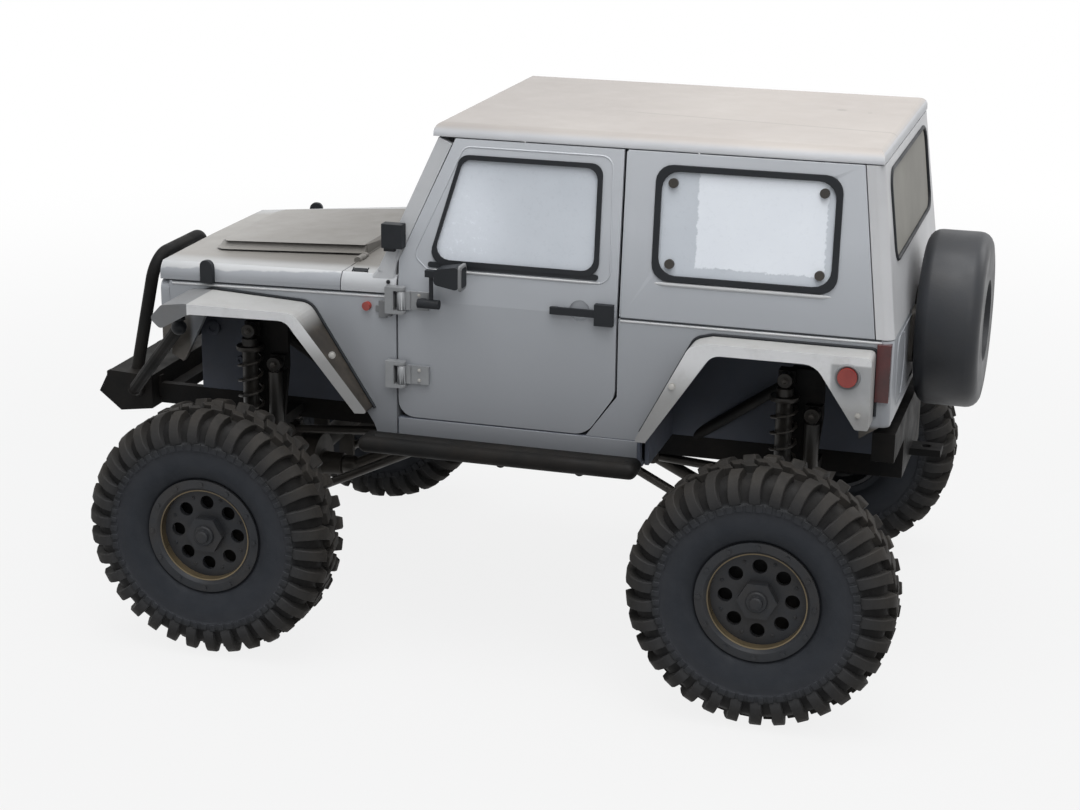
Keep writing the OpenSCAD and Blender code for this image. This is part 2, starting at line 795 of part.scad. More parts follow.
slider_d = 9;
slider_y = 112;
slider_front = 80;
slider_rear = 77;
slider_rise = 2.5;
slider_z = floor_z + slider_rise;
slider_arm_d = 6;
slider_arm_shares = [0.2, 0.5, 0.8];

module rock_sliders() color("#232220") both() {
    x1 = fx - slider_front;
    x0 = rx + slider_rear;
    slider_l = x1 - x0;
    in_y = half_w + slider_d / 2 + over;
    difference() {
        union() {
            rod([x0, slider_y, slider_z], [x1, slider_y, slider_z], slider_d);
            rod([x0, in_y, slider_z], [x1, in_y, slider_z], slider_d);
            for (x = [x0, x1]) {
                rod([x, in_y, slider_z], [x, slider_y, slider_z], slider_d);
                for (y = [in_y, slider_y])
                    translate([x, y, slider_z]) sphere(d = slider_d);
            }
            for (t = slider_arm_shares)
                rod([x1 - slider_l * t, rail_y,
                     floor_z - slider_arm_d / 2 - clear],
                    [x1 - slider_l * t, in_y,
                     floor_z - slider_arm_d / 2 - clear], slider_arm_d);
        }
        box([x0 - over, 0, rail_z - rail_h],
            [x1 + over, rails_w / 2, rail_z + rail_h]);
    }
}

// Body shell

// Wheel arches: [shares of tyre diameter from the axle, from the belt]
front_arch_shares = [[-0.645, -0.62], [-0.27, -0.093], [0.16, -0.093],
                     [0.3, -0.36], [0.5, -0.62]];
rear_arch_shares = [[0.625, -0.62], [0.25, -0.07], [-0.12, -0.07],
                    [-0.28, -0.3], [-0.3, -0.62]];
arch_r = 9;
well_share = 0.53;
sill_t = 5;
bay_half = rails_w / 2 - wall;
well_drop = 9;
well_z = belt_z - well_drop;

module arch(shares, x) polygon(rounded(placed(shares, x, belt_z, tyre_d, arch_r)));

module floor_pan() color("#3a3c40") {
    x1 = door_fx + wall;
    well_x = min(rx + tyre_d * well_share, door_rx - wall);
    x0 = rx - rail_rear + clear;
    difference() {
        union() {
            box([well_x, -half_w + wall, floor_z],
                [x1, half_w - wall, floor_z + wall]);
            box([x0, -bay_half + clear, floor_z],
                [well_x + over, bay_half - clear, floor_z + wall]);
            // Sills under the doors
            both() box([well_x + over, half_w - sill_t, floor_z],
                       [door_fx - clear, half_w, door_z - seam]);
        }
        // Room for the flanges of the front fenders
        both() box([door_fx - 2 * wall, bay_half, floor_z - over],
                   [x1 + over, half_w, floor_z + wall + over]);
    }
}

module inner_wells() color("#23262e") both() {
    // Front: side of the motor bay and the shelf under the fender
    z0 = floor_z;
    box([door_fx + wall * 2, bay_half, z0],
        [nose_x - hood_front_gap, bay_half + wall, well_z]);
    box([door_fx + wall * 2, bay_half, well_z],
        [nose_x - hood_front_gap, nose_w / 2 - wall * 2, well_z + wall]);
    // Rear: side of the load bay and the shelf under the belt
    z1 = floor_z;
    xb = min(rx + tyre_d * well_share, door_rx - wall) - clear;
    xa = rx - rail_rear + clear;
    box([xa, bay_half, z1], [xb, bay_half + wall, well_z]);
    box([tail_x + 2 * corner_r + clear, bay_half, well_z],
        [xb, half_w - wall - clear, well_z + wall]);
    box([xb - wall, bay_half, z1],
        [xb, half_w - sill_t - clear, well_z]);
}
hood_front_gap = 6;

module fender() {
    // Height of the hood seam a distance forward of the door
    function seam_at(u) = hood_seam_z - tan(hood_fall) * u;
    u1 = clip_len - hood_front_gap / cos(taper);
    tapering(wall) difference() {
        polygon([[seam, floor_z], [seam, seam_at(seam)], [u1, seam_at(u1)],
                 [u1, belt_z + tyre_d * front_arch_shares[3][1]],
                 [clip_len / 2, floor_z]]);
        translate([door_setback / cos(taper), 0])
            arch(front_arch_shares, 0);
    }
    for (z = [hinge_upper_z, hinge_lower_z]) hinge_bracket(z);
    // Inner flange at the door shut
    tapering(sill_t, wall) polygon([[seam, floor_z], [seam, seam_at(seam)],
        [seam + wall, seam_at(seam)], [seam + wall, floor_z]]);
}
// Bracket on the fender that holds a door hinge pin above and below
module hinge_bracket(z) {
    out_y = hinge_y + hinge_d / 2;
    for (s = [-1, 1]) translate([0, 0, z]) mirror([0, 0, s < 0 ? 1 : 0]) {
        box([hinge_x, half_w + clear, hinge_h / 2 + clear],
            [door_fx + hinge_d, out_y, hinge_h / 2 + clear + hinge_leaf_t]);
        translate([hinge_x, hinge_y, hinge_h / 2 + clear])
            cylinder(h = hinge_leaf_t, d = hinge_d);
    }
    box([door_fx + clear, half_w + clear,
         z - hinge_h / 2 - clear - hinge_leaf_t],
        [door_fx + hinge_d, out_y, z + hinge_h / 2 + clear + hinge_leaf_t]);
    box([door_fx + seam, half_w - wall / 2,
         z - hinge_h / 2 - clear - hinge_leaf_t],
        [door_fx + hinge_d, out_y, min(hood_seam_z - seam,
                                       z + hinge_h / 2 + clear)]);
    translate([hinge_x, hinge_y, z])
        cylinder(h = hinge_h + 2 * clear + hinge_leaf_t, d = hinge_pin_d,
                 center = true);
}
module fender_left() color("#a9adb2") fender();
module fender_right() color("#a9adb2") mirror([0, 1, 0]) fender();

grille_z = 148;
grille_top_z = hood_seam_z - clip_l * tan(hood_fall);
lamp_d = 27;
lamp_inset = 24;
lamp_y = nose_w / 2 - lamp_inset;
lamp_z = 173;
grille_margin = 43;
grille_half = nose_w / 2 - grille_margin;
grille_bars = 4;

module grille() color("#9ea2a7") {
    open_z0 = grille_z + wall * 3;
    open_z1 = grille_top_z - wall * 3;
    crosswise(nose_x - hood_front_gap + seam, hood_front_gap - seam)
        difference() {
            polygon(rounded([[-nose_w / 2, grille_z, corner_r],
                             [nose_w / 2, grille_z, corner_r],
                             [nose_w / 2, grille_top_z, corner_r],
                             [-nose_w / 2, grille_top_z, corner_r]]));
            for (s = [-1, 1]) translate([s * lamp_y, lamp_z])
                circle(d = lamp_d + 2 * fit);
            polygon(rounded([[-grille_half, open_z0, wall],
                             [grille_half, open_z0, wall],
                             [grille_half, open_z1, wall],
                             [-grille_half, open_z1, wall]]));
        }
    pitch = (open_z1 - open_z0) / grille_bars;
    for (i = [0:grille_bars - 1])
        box([nose_x - hood_front_gap + seam, -grille_half - over,
             open_z0 + pitch * (i + 1 / 2) - wall / 2],
            [nose_x - wall, grille_half + over,
             open_z0 + pitch * (i + 1 / 2) + wall / 2]);
}

module headlamps() color("#d9dde0") both()
    translate([nose_x - hood_front_gap + seam, lamp_y, lamp_z])
        rotate([0, 90, 0]) rotate_extrude()
            polygon([[0, 0], [lamp_d / 2, 0],
                     [lamp_d / 2, hood_front_gap - wall],
                     [lamp_d / 4, hood_front_gap],
                     [0, hood_front_gap + wall / 2]]);

// Shoulder of the front clip: outer face tapering, top edge rounded
module shoulder_block(inset) {
    top = hood_side_h - inset;
    side = inset;
    r = hood_round_r - inset;
    depth = body_w;
    tapering_prism(inset) union() {
        translate([side + r, -depth]) square([depth, depth + top]);
        translate([side, -depth]) square([depth, depth + top - r]);
        translate([side + r, top - r]) circle(r);
    }
}
// Prism along the tapering side, drawn in distance inwards and height above
// the hood seam, falling to the nose
module tapering_prism(inset)
    translate([door_fx, half_w, hood_seam_z]) rotate([0, 0, -taper])
        rotate([0, hood_fall, 0]) rotate([90, 0, 90])
            translate([0, 0, -door_setback]) mirror([1, 0, 0])
                linear_extrude(clip_len + door_setback * 2) children();

module clip_form(inset) intersection() {
    shoulder_block(inset);
    mirror([0, 1, 0]) shoulder_block(inset);
}
dome_h = 4;
dome_margin = 26;
dome_half = nose_w / 2 - dome_margin;
dome_front = 24;
dome_nose_share = 0.86;
hood_nose_r = 12;

module hood_blank(inset) intersection() {
    clip_form(inset);
    // Side view: seam below, rounded nose in front
    upright(half_w, body_w) polygon(rounded([
        [hood_rear_x + inset, hood_seam_z - (hood_rear_x - door_fx)
             * tan(hood_fall) + seam - inset * 4, 0],
        [hood_rear_x + inset, belt_z + hood_side_h * 3, 0],
        [nose_x - inset, belt_z + hood_side_h * 3, 0],
        [nose_x - inset, hood_seam_z - clip_l * tan(hood_fall) + seam
             - inset * 4, 0]]));
}

// Hood hinges: barrels on the hood between pairs on the cowl
hood_barrel_d = 4;
hood_barrel_l = 6;
hood_pin_d = 2;
hood_hinge_y = dome_half + hood_barrel_l * 2;
hood_hinge_x = hood_rear_x - seam / 2;
hood_axis_rise = 0.6;
hood_hinge_z = hood_seam_z + hood_side_h + hood_axis_rise - tan(hood_fall)
    * ((hood_hinge_x - door_fx) * cos(taper)
       + (half_w + hood_hinge_y) * sin(taper));
module hood_barrel(y, l, d)
    across([hood_hinge_x, y, hood_hinge_z], d, l);
// Places of the cowl's two barrels beside each hood barrel
cowl_barrel_l = hood_barrel_l / 2;
cowl_barrel_dy = (hood_barrel_l + cowl_barrel_l) / 2 + clear;

module hood() color("#aaa9a6") difference() {
    union() {
        difference() {
            union() {
                hood_blank(0);
                // Raised centre panel
                translate([door_fx, 0, hood_seam_z]) rotate([0, hood_fall, 0])
                    translate([0, 0, hood_side_h - wall])
                        linear_extrude(dome_h + wall) dome_outline();
            }
            hood_blank(wall);
        }
        both() hood_barrel(hood_hinge_y, hood_barrel_l, hood_barrel_d);
    }
    both() {
        hood_barrel(hood_hinge_y, hood_barrel_l + over, hood_pin_d + 2 * fit);
        for (s = [-1, 1])
            hood_barrel(hood_hinge_y + s * cowl_barrel_dy,
                        cowl_barrel_l + 2 * clear, hood_barrel_d + 2 * clear);
    }
}
module dome_outline() polygon(rounded([
    [hood_rear_x - door_fx, -dome_half, 0],
    [clip_l - dome_front, -dome_half * dome_nose_share, corner_r],
    [clip_l - dome_front, dome_half * dome_nose_share, corner_r],
    [hood_rear_x - door_fx, dome_half, 0]]));

module cowl_frame() color("#a6a9ad") {
    cowl_x1 = hood_rear_x - seam;
    difference() {
        intersection() {
            clip_form(0);
            box([door_fx + seam, -half_w, hood_seam_z - hood_side_h],
                [cowl_x1, half_w, drip_z]);
        }
        intersection() {
            clip_form(wall);
            box([door_fx + wall * 2, -half_w, floor_z],
                [cowl_x1 + over, half_w, drip_z]);
        }
        // Under the hood seam the fenders take over
        upright(half_w + over, body_w + 2 * over) polygon([
            [door_fx - over, floor_z], [cowl_x1 + over, floor_z],
            [cowl_x1 + over, seam
                + hood_seam_z - (cowl_x1 + over - door_fx) * tan(hood_fall)],
            [door_fx - over, seam + hood_seam_z + over * tan(hood_fall)]]);
        both() hood_barrel(hood_hinge_y, hood_barrel_l + 2 * clear,
                           hood_barrel_d + 2 * clear);
    }
    both() {
        for (s = [-1, 1]) hood_barrel(hood_hinge_y + s * cowl_barrel_dy,
                                      cowl_barrel_l, hood_barrel_d);
        hood_barrel(hood_hinge_y, hood_barrel_l + cowl_barrel_l, hood_pin_d);
    }
    // Firewall
    box([door_fx + wall, -bay_half, floor_z + wall],
        [door_fx + wall * 2, bay_half, hood_seam_z + hood_side_h - wall * 2]);
    screen_frame();
}

// Windscreen frame, drawn in y and distance up the raked face
screen_low_half = half_w - (screen_z - belt_z) * tan(tumble) - seam;
screen_top_half = roof_w / 2 - seam;
pillar_w = 11;
module screen_frame()
    translate([screen_x, 0, screen_z]) rotate([0, -rake, 0])
        translate([-screen_t, 0, 0]) rotate([90, 0, 90])
            linear_extrude(screen_t) difference() {
                polygon([[-screen_low_half, -hood_side_h],
                         [screen_low_half, -hood_side_h],
                         [screen_top_half, screen_h - seam],
                         [-screen_top_half, screen_h - seam]]);
                screen_hole(0);
            }
module screen_hole(inset) polygon(rounded([
    [-screen_low_half + pillar_w + inset, window_margin + inset, corner_r],
    [screen_low_half - pillar_w - inset, window_margin + inset, corner_r],
    [screen_top_half - pillar_w - inset, screen_h - window_margin - inset,
     corner_r],
    [-screen_top_half + pillar_w + inset, screen_h - window_margin - inset,
     corner_r]]));
window_margin = 8;
pane_gap = 0.15;

module windscreen() color("#c9ced2")
    translate([screen_x, 0, screen_z]) rotate([0, -rake, 0])
        translate([-screen_t / 2, 0, 0]) rotate([90, 0, 90])
            linear_extrude(pane_t) screen_hole(pane_gap);

module rear_quarter() {
    x1 = door_rx - seam;
    sill_x = door_rx + door_cut;
    difference() {
        union() {
            upright(half_w, wall) difference() {
                polygon([[sill_x, floor_z], [sill_x, door_z - seam],
                         [x1, door_z + door_cut_h], [x1, belt_z - seam],
                         [tail_x + corner_r, belt_z - seam],
                         [tail_x + corner_r, belt_z - tail_drop],
                         [rx, floor_z]]);
                arch(rear_arch_shares, rx);
            }
            // Rounded rear corner
            translate([tail_x + corner_r, half_w - corner_r,
                       belt_z - tail_drop])
                cylinder(h = tail_drop - seam, r = corner_r);
            box([tail_x, half_w - corner_r * corner_share,
                 belt_z - tail_drop],
                [tail_x + wall, half_w - corner_r, belt_z - seam]);
        }
        // Sill end fits round the floor's sill
        box([rx, half_w - sill_t - clear, floor_z - over],
            [sill_x + over, half_w + over, door_z - seam + fit]);
    }
}
door_cut = 16;
door_cut_h = 22.4;
tail_drop = 46;
module rear_quarter_left() color("#9fa3a9") rear_quarter();
module rear_quarter_right() color("#9fa3a9") mirror([0, 1, 0]) rear_quarter();

module tailgate() color("#a3a6ab") {
    half = half_w - corner_r * corner_share - seam;
    box([tail_x, -half, belt_z - tail_drop],
        [tail_x + wall, half, belt_z - seam]);
}

module roof_section(inset) intersection() {
    hw = roof_w / 2 - inset;
    union() {
        r = roof_h - inset;
        translate([-hw + r, 0]) square([2 * (hw - r), r]);
        for (s = [-1, 1]) translate([s * (hw - r), 0]) circle(r);
    }
    translate([-hw, 0]) square([2 * hw, roof_h]);
}
roof_front = 3;
roof_round_r = 4.5;
module roof_block(inset) intersection() {
    x0 = roof_tail_x + inset;
    x1 = header_x + roof_front - inset;
    crosswise(x0, x1 - x0) roof_section(inset);
    upright(half_w, body_w) polygon(rounded([
        [x0, -over, 0], [x1, -over, 0], [x1, roof_h - inset, roof_round_r],
        [x0, roof_h - inset, roof_round_r]]));
}
module roof() color("#b7b2ac") translate([0, 0, drip_z]) difference() {
    roof_block(0);
    translate([0, 0, -over]) roof_block(wall);
}

// Side of the hard top with its window, drawn in x and height up the side
b_gap = 1.4;
quarter_front = 17.5;
quarter_rear = 31;
quarter_sill_h = 21.5;
quarter_h = 58.5;
quarter_round = 9;
quarter_x1 = door_rx - quarter_front;
quarter_x0 = tail_x + quarter_rear;
module quarter_hole(grow) {
    z0 = quarter_sill_h - grow;
    z1 = quarter_sill_h + quarter_h + grow;
    polygon(rounded([[quarter_x0 - grow, z0, quarter_round],
                     [quarter_x1 + grow, z0, quarter_round],
                     [quarter_x1 + grow, z1, quarter_round],
                     [quarter_x0 - grow, z1, quarter_round]]));
}
module top_side() leaning(wall) difference() {
    polygon([[door_rx - b_gap, 0], [door_rx - b_gap, side_h - seam],
             [roof_tail_x + corner_r * corner_share, side_h - seam],
             [tail_x + corner_r * corner_share, 0]]);
    quarter_hole(0);
}
module top_side_left() color("#a4a8ad") top_side();
module top_side_right() color("#a4a8ad") mirror([0, 1, 0]) top_side();
gasket_t = 1;
gasket_out = 0.8;
gasket_in = 2.6;
screw_d = 5;
screw_h = 2;
screw_in = 8.5;
pane_set = wall - pane_t;
module quarter_windows() color("#d3d6d8") both()
    leaning(pane_t, pane_set) quarter_hole(-pane_gap);
module window_gaskets() color("#222427") both()
    leaning(gasket_t, -gasket_t - fit) difference() {
        quarter_hole(gasket_out);
        quarter_hole(-gasket_in);
    }
module window_screws() color("#6a6c6f") both()
    leaning(screw_h, pane_set - screw_h - fit)
        for (x = [quarter_x0 + screw_in, quarter_x1 - screw_in],
             z = [quarter_sill_h + screw_in,
                  quarter_sill_h + quarter_h - screw_in])
            translate([x, z]) circle(d = screw_d);

// Rear upper frame: raked plate between two round corner posts
module tail_frame() color("#b0b1b2") {
    s = upper_h / cos(tail_lean);
    low_half = half_w - corner_r;
    top_half = roof_w / 2 - corner_r;
    translate([tail_x, 0, belt_z]) rotate([0, tail_lean, 0])
        rotate([90, 0, 90]) linear_extrude(wall) difference() {
            polygon([[-low_half, 0], [low_half, 0],
                     [top_half, s - seam], [-top_half, s - seam]]);
            tail_hole(0);
        }
    both() leaning(wall) polygon([
        [tail_x + corner_r * corner_share - seam, 0],
        [roof_tail_x + corner_r * corner_share - seam, side_h - seam],
        [roof_tail_x + corner_r, side_h - seam], [tail_x + corner_r, 0]]);
    both() intersection() {
        rod([tail_x + corner_r - over * tail_lean_share,
             half_w - corner_r + over * tan(tumble), belt_z - over],
            [roof_tail_x + corner_r + over * tail_lean_share,
             roof_w / 2 - corner_r - over * tan(tumble), drip_z + over],
            2 * corner_r);
        box([tail_x - over, 0, belt_z], [door_rx, half_w + over,
                                         drip_z - seam]);
    }
}
tail_window_half = 72;
tail_sill_h = 35;
tail_window_h = 46;
module tail_hole(inset) {
    half = tail_window_half - inset;
    z0 = tail_sill_h + inset;
    z1 = tail_sill_h + tail_window_h - inset;
    polygon(rounded([[-half, z0, quarter_round], [half, z0, quarter_round],
                     [half, z1, quarter_round], [-half, z1, quarter_round]]));
}
module rear_window() color("#8f9497")
    translate([tail_x, 0, belt_z]) rotate([0, tail_lean, 0])
        rotate([90, 0, 90]) translate([0, 0, (wall - pane_t) / 2])
            linear_extrude(pane_t) tail_hole(pane_gap);

// Flares: [shares of tyre diameter from the axle, from the belt, of radius]
flare_chin_share = [0.275, -0.173, 0.02];
flare_foot_share = [-0.5665, -0.457, 0.008];
flare_bend_share = [-0.29, -0.063, 0.07];
front_flare_shares = [[0.175, -0.063, 0.06], [0.268, -0.076, 0.02],
                      [0.32, -0.132, 0.02], flare_chin_share,
                      [0.153, -0.104, 0.05], [-0.257, -0.096, 0.06],
                      [-0.516, -0.457, 0], flare_foot_share,
                      flare_bend_share];
rear_flare_shares = [[0.535, -0.44, 0.008], [0.335, -0.055, 0.05],
                     [0.27, -0.038, 0.04], [-0.333, -0.038, 0.02],
                     [-0.333, -0.31, 0.008], [-0.285, -0.31, 0.008],
                     [-0.13, -0.08, 0.08], [0.25, -0.08, 0.06],
                     [0.49, -0.44, 0]];
flare_w = 17;
flare_foot_w = 8;

module front_flares() color("#c2beb7") both() difference() {
    upright(half_w + flare_w, half_w + flare_w - nose_w / 2)
        polygon(rounded(placed(front_flare_shares, fx, belt_z, tyre_d), 4));
    // Seated on the tapering fender
    tapering(body_w, -fit) translate([-door_setback, 0])
        square([clip_len + door_setback * 2, belt_z * 2]);
    // The rear leg narrows to its foot
    out_y = half_w + flare_w + over;
    foot_x = fx + tyre_d * flare_foot_share[0] - over;
    bend_x = fx + tyre_d * flare_bend_share[0];
    translate([0, 0, floor_z]) linear_extrude(belt_z - floor_z) polygon([
        [foot_x, out_y], [foot_x, half_w + flare_foot_w],
        [bend_x, half_w + flare_w], [bend_x, out_y]]);
}
module rear_flares() color("#c2beb7") both()
    upright(half_w + flare_w, flare_w - fit)
        polygon(rounded(placed(rear_flare_shares, rx, belt_z, tyre_d), 4));

lens_d = 10;
lens_t = 2.5;
lens_place_share = [-0.25, -0.113];
tail_lamp_h = 30;
tail_lamp_w = 7;
tail_lamp_in = 0.75;
tail_lamp_rise = 14;
side_marker_d = 4.8;
side_marker_ahead = 17.7;
side_marker_drop = 6;
module marker_lamps() color("#a8322a") both() {
    // Upright tail lamps round the rear corners
    z0 = belt_z - tail_drop + tail_lamp_rise;
    difference() {
        box([tail_x + tail_lamp_in, half_w - corner_r, z0],
            [tail_x + tail_lamp_in + tail_lamp_w, half_w + lens_t,
             z0 + tail_lamp_h]);
        translate([tail_x + corner_r, half_w - corner_r, z0 - over])
            cylinder(h = tail_lamp_h + 2 * over, r = corner_r + fit);
        box([tail_x + corner_r, half_w - corner_r - over, z0 - over],
            [tail_x + tail_lamp_in + tail_lamp_w + over, half_w + fit,
             z0 + tail_lamp_h + over]);
    }
    // Round markers on the rear flares
    across([rx + tyre_d * lens_place_share[0],
            half_w + flare_w + lens_t / 2 + fit,
            belt_z + tyre_d * lens_place_share[1]], lens_d, lens_t);
    // Small round markers ahead of the doors
    translate([door_fx, half_w, 0]) rotate([0, 0, -taper])
        across([side_marker_ahead, lens_t / 2 + fit,
                belt_z - side_marker_drop], side_marker_d, lens_t);
}

pod_l = 11.5;
pod_w = 6.5;
pod_h = 13;
pod_back = 11.3;
pod_foot_l = 6;
pod_foot_h = 2.5;
module light_pods() color("#2b3136") both() {
    x = screen_x - pod_back;
    z = screen_z + clear;
    side_y = half_w - seam - (z - belt_z) * tan(tumble) + clear / 2;
    // Foot on the pillar's side, then the lamp housing
    box([x + pod_l - pod_foot_l, side_y, z],
        [x + pod_l, side_y + pod_w / 2, z + pod_foot_h + fit]);
    box([x, side_y + clear, z + pod_foot_h],
        [x + pod_l, side_y + clear + pod_w, z + pod_foot_h + pod_h]);
}

latch_w = 8;
latch_h = 13;
latch_t = 3;
latch_r = 3.6;
latch_back = 36.2;
module hood_latches() color("#222427") both()
    tapering(latch_t, -latch_t - fit) {
        u = (clip_l - latch_back) / cos(taper);
        z = hood_seam_z - tan(hood_fall) * u;
        polygon(rounded([[u, z, 0], [u + latch_w, z, 0],
                         [u + latch_w, z + latch_h, latch_r],
                         [u, z + latch_h, latch_r]]));
    }

// Spare wheel on the tailgate
spare_z = 186;
spare_edge_r = 7;
spare_hub_d = 44;
spare_inset = 5;
carrier_d = 34;
module spare_cover() color("#2b2c2f")
    translate([rx - rear_reach, 0, spare_z]) rotate([0, 90, 0])
        rotate_extrude($fn = 96) polygon(rounded([
            [0, spare_inset, 0], [spare_hub_d / 2, spare_inset, 0],
            [spare_hub_d / 2, 0, 0], [spare_d / 2, 0, spare_edge_r],
            [spare_d / 2, spare_t, spare_edge_r], [0, spare_t, 0]]));
module spare_carrier() color("#303135")
    rod([rx - rear_reach + spare_t, 0, spare_z], [tail_x, 0, spare_z],
        carrier_d);

// Doors: lower slab, leaning window frame, hinge leaves with barrels

hinge_back = 3.5;
hinge_x = door_fx - hinge_back;
hinge_y = half_w + hinge_d / 2 + clear;
hinge_h = 10;
hinge_l = 15;
hinge_leaf_t = 2;
hinge_upper_z = belt_z;
hinge_drop = 41;
hinge_lower_z = belt_z - hinge_drop;
door_frame_w = 8;
door_foot_r = 9;
door_knee_r = 12;

// Front edge of the upper door frame at a height above the belt
function pillar_x(h) =
    min(door_fx - seam,
        screen_x - screen_t / cos(rake) - seam
        - (belt_z + h * cos(tumble) - screen_z) * tan(rake));

window_front = 17.5;
window_back = 12;
window_low_r = 7;
window_top_r = 6;
module door_window_outline(inset) {
    lo = window_sill_h + inset;
    hi = window_sill_h + window_h - inset;
    polygon(rounded([
        [door_fx - window_front - inset, lo, window_low_r],
        [pillar_x(hi) - door_frame_w - inset, hi, window_top_r],
        [door_rx + window_back + inset, hi, window_top_r],
        [door_rx + window_back + inset, lo, window_low_r]]));
}

door_rise = 12.6;
recess_d = 11;
recess_depth = 1.2;
recess_ahead = 20.6;
recess_rise = 1.7;
module door() {
    difference() {
        union() {
            // Lower panel with rounded front foot and cut rear foot
            upright(half_w, door_t) polygon(rounded([
                [door_fx - seam, belt_z + fit, 0],
                [door_fx - seam, door_z, door_foot_r],
                [door_rx + door_cut, door_z, door_knee_r],
                [door_rx + seam, door_z + door_cut_h, door_knee_r],
                [door_rx + seam, belt_z + fit, 0]]));
            // Window frame up to the roof seam
            leaning(wall) difference() {
                polygon([[door_fx - seam, -fit],
                         [door_fx - seam, door_rise],
                         [pillar_x(window_sill_h), window_sill_h],
                         [pillar_x(side_h), side_h - seam],
                         [door_rx + seam, side_h - seam],
                         [door_rx + seam, -fit]]);
                door_window_outline(0);
            }
            for (z = [hinge_upper_z, hinge_lower_z]) {
                // Leaf on the door skin and the barrel on the axis
                box([hinge_x - hinge_l, half_w - fit, z - hinge_h / 2],
                    [hinge_x, half_w + hinge_leaf_t, z + hinge_h / 2]);
                box([hinge_x - hinge_d, half_w - fit, z - hinge_h / 2],
                    [hinge_x, hinge_y, z + hinge_h / 2]);
                translate([hinge_x, hinge_y, z])
                    cylinder(h = hinge_h, d = hinge_d, center = true);
            }
        }
        for (z = [hinge_upper_z, hinge_lower_z])
            translate([hinge_x, hinge_y, z])
                cylinder(h = hinge_h + over, d = hinge_pin_d + 2 * fit,
                         center = true);
        // Dish behind the handle
        across([door_rx + recess_ahead, half_w, belt_z + recess_rise],
               recess_d, 2 * recess_depth);
    }
}
module door_left() color("#9b9fa5") door();
module door_right() color("#9b9fa5") mirror([0, 1, 0]) door();

module door_window() leaning(pane_t, pane_set)
    door_window_outline(pane_gap);
module door_window_left() color("#cfd3d6") door_window();
module door_window_right() color("#cfd3d6") mirror([0, 1, 0]) door_window();

mirror_l = 14;
mirror_h = 13;
mirror_w = 10;
mirror_r = 2.5;
mirror_out = 4;
mirror_back = 39.5;
mirror_rise = 10.3;
arm_back = 18.5;
mirror_arm_d = 3.6;
knob_l = 12;
knob_d = 5;
knob_out = 6;
knob_back = 14;
lock_l = 10;
lock_h = 11.4;
lock_in = 1.8;
lock_drop = 4.7;
grip_l = 24;
grip_h = 3.9;
grip_drop = 0.5;
grip_gap = 1.4;
handle_t = 3.6;
module door_trim() {
    // Mirror housing on an arm, carried by a stalk from the upper hinge leaf
    x0 = door_fx - mirror_back;
    z0 = belt_z + mirror_rise;
    arm_x = door_fx - arm_back;
    knob_x = door_fx - knob_back;
    knob_y = half_w + knob_out;
    knob_z = hinge_upper_z + fit;
    arm_y = half_w + mirror_out + mirror_arm_d / 2 + clear;
    upright(half_w + mirror_out + mirror_w, mirror_w) polygon(rounded([
        [x0, z0, mirror_r], [x0 + mirror_l, z0 + mirror_r, mirror_r],
        [x0 + mirror_l, z0 + mirror_h - mirror_r, mirror_r],
        [x0, z0 + mirror_h, mirror_r]]));
    box([x0 + mirror_l - mirror_r, arm_y - mirror_arm_d / 2,
         z0 + mirror_h / 2 - mirror_arm_d / 2],
        [arm_x, arm_y + mirror_arm_d / 2,
         z0 + mirror_h / 2 + mirror_arm_d / 2]);
    box([arm_x - mirror_arm_d, arm_y - mirror_arm_d / 2, knob_z],
        [arm_x - mirror_arm_d / 2, arm_y, z0 + mirror_h / 2]);
    // Knob with its foot on the leaf
    rod([knob_x - knob_l, knob_y, knob_z], [knob_x, knob_y, knob_z], knob_d);
    box([knob_x - mirror_arm_d, half_w + hinge_leaf_t + fit,
         knob_z - mirror_arm_d / 2],
        [knob_x - clear, knob_y, knob_z + mirror_arm_d / 2]);
    // Lock block at the rear edge and the grip that stands off the skin
    lock_x = door_rx + lock_in;
    lock_z = belt_z - lock_drop;
    grip_z = belt_z - grip_drop;
    box([lock_x, half_w, lock_z],
        [lock_x + lock_l, half_w + handle_t, lock_z + lock_h]);
    box([lock_x + lock_l - clear, half_w + grip_gap, grip_z],
        [lock_x + lock_l + grip_l, half_w + handle_t - clear,
         grip_z + grip_h]);
    box([lock_x + lock_l + grip_l - grip_h, half_w, grip_z + clear],
        [lock_x + lock_l + grip_l - clear, half_w + grip_gap + clear,
         grip_z + grip_h - clear]);
    // Window gasket
    leaning(gasket_t, -gasket_t - fit) difference() {
        door_window_outline(-gasket_out);
        door_window_outline(gasket_in - gasket_out);
    }
}
module door_trim_left() color("#26282b") door_trim();
module door_trim_right() color("#26282b") mirror([0, 1, 0]) door_trim();

frame_rails();
skid_plate();
gearbox();
motor();
battery();
shock_towers();
front_axle();
rear_axle();
suspension_links();
dampers();
coil_springs();
side_dampers();
driveshafts();
front_bumper();
rear_bumper();
rock_sliders();
floor_pan();
inner_wells();
fender_left();
fender_right();
grille();
cowl_frame();
rear_quarter_left();
rear_quarter_right();
tailgate();
roof();
top_side_left();
top_side_right();
tail_frame();
windscreen();
quarter_windows();
rear_window();
front_flares();
rear_flares();
headlamps();
marker_lamps();
light_pods();
hood_latches();
spare_cover();
spare_carrier();
hood();
door_left();
door_right();
door_window_left();
door_window_right();
door_trim_left();
door_trim_right();
window_gaskets();
window_screws();
knuckle_left();
knuckle_right();
tie_rod();
tyre_front_left();
tyre_front_right();
tyre_rear_left();
tyre_rear_right();
wheel_front_left();
wheel_front_right();
wheel_rear_left();
wheel_rear_right();
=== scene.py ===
import json
import math
import random
from collections import namedtuple

import bmesh
import bpy
from mathutils import Matrix, Vector


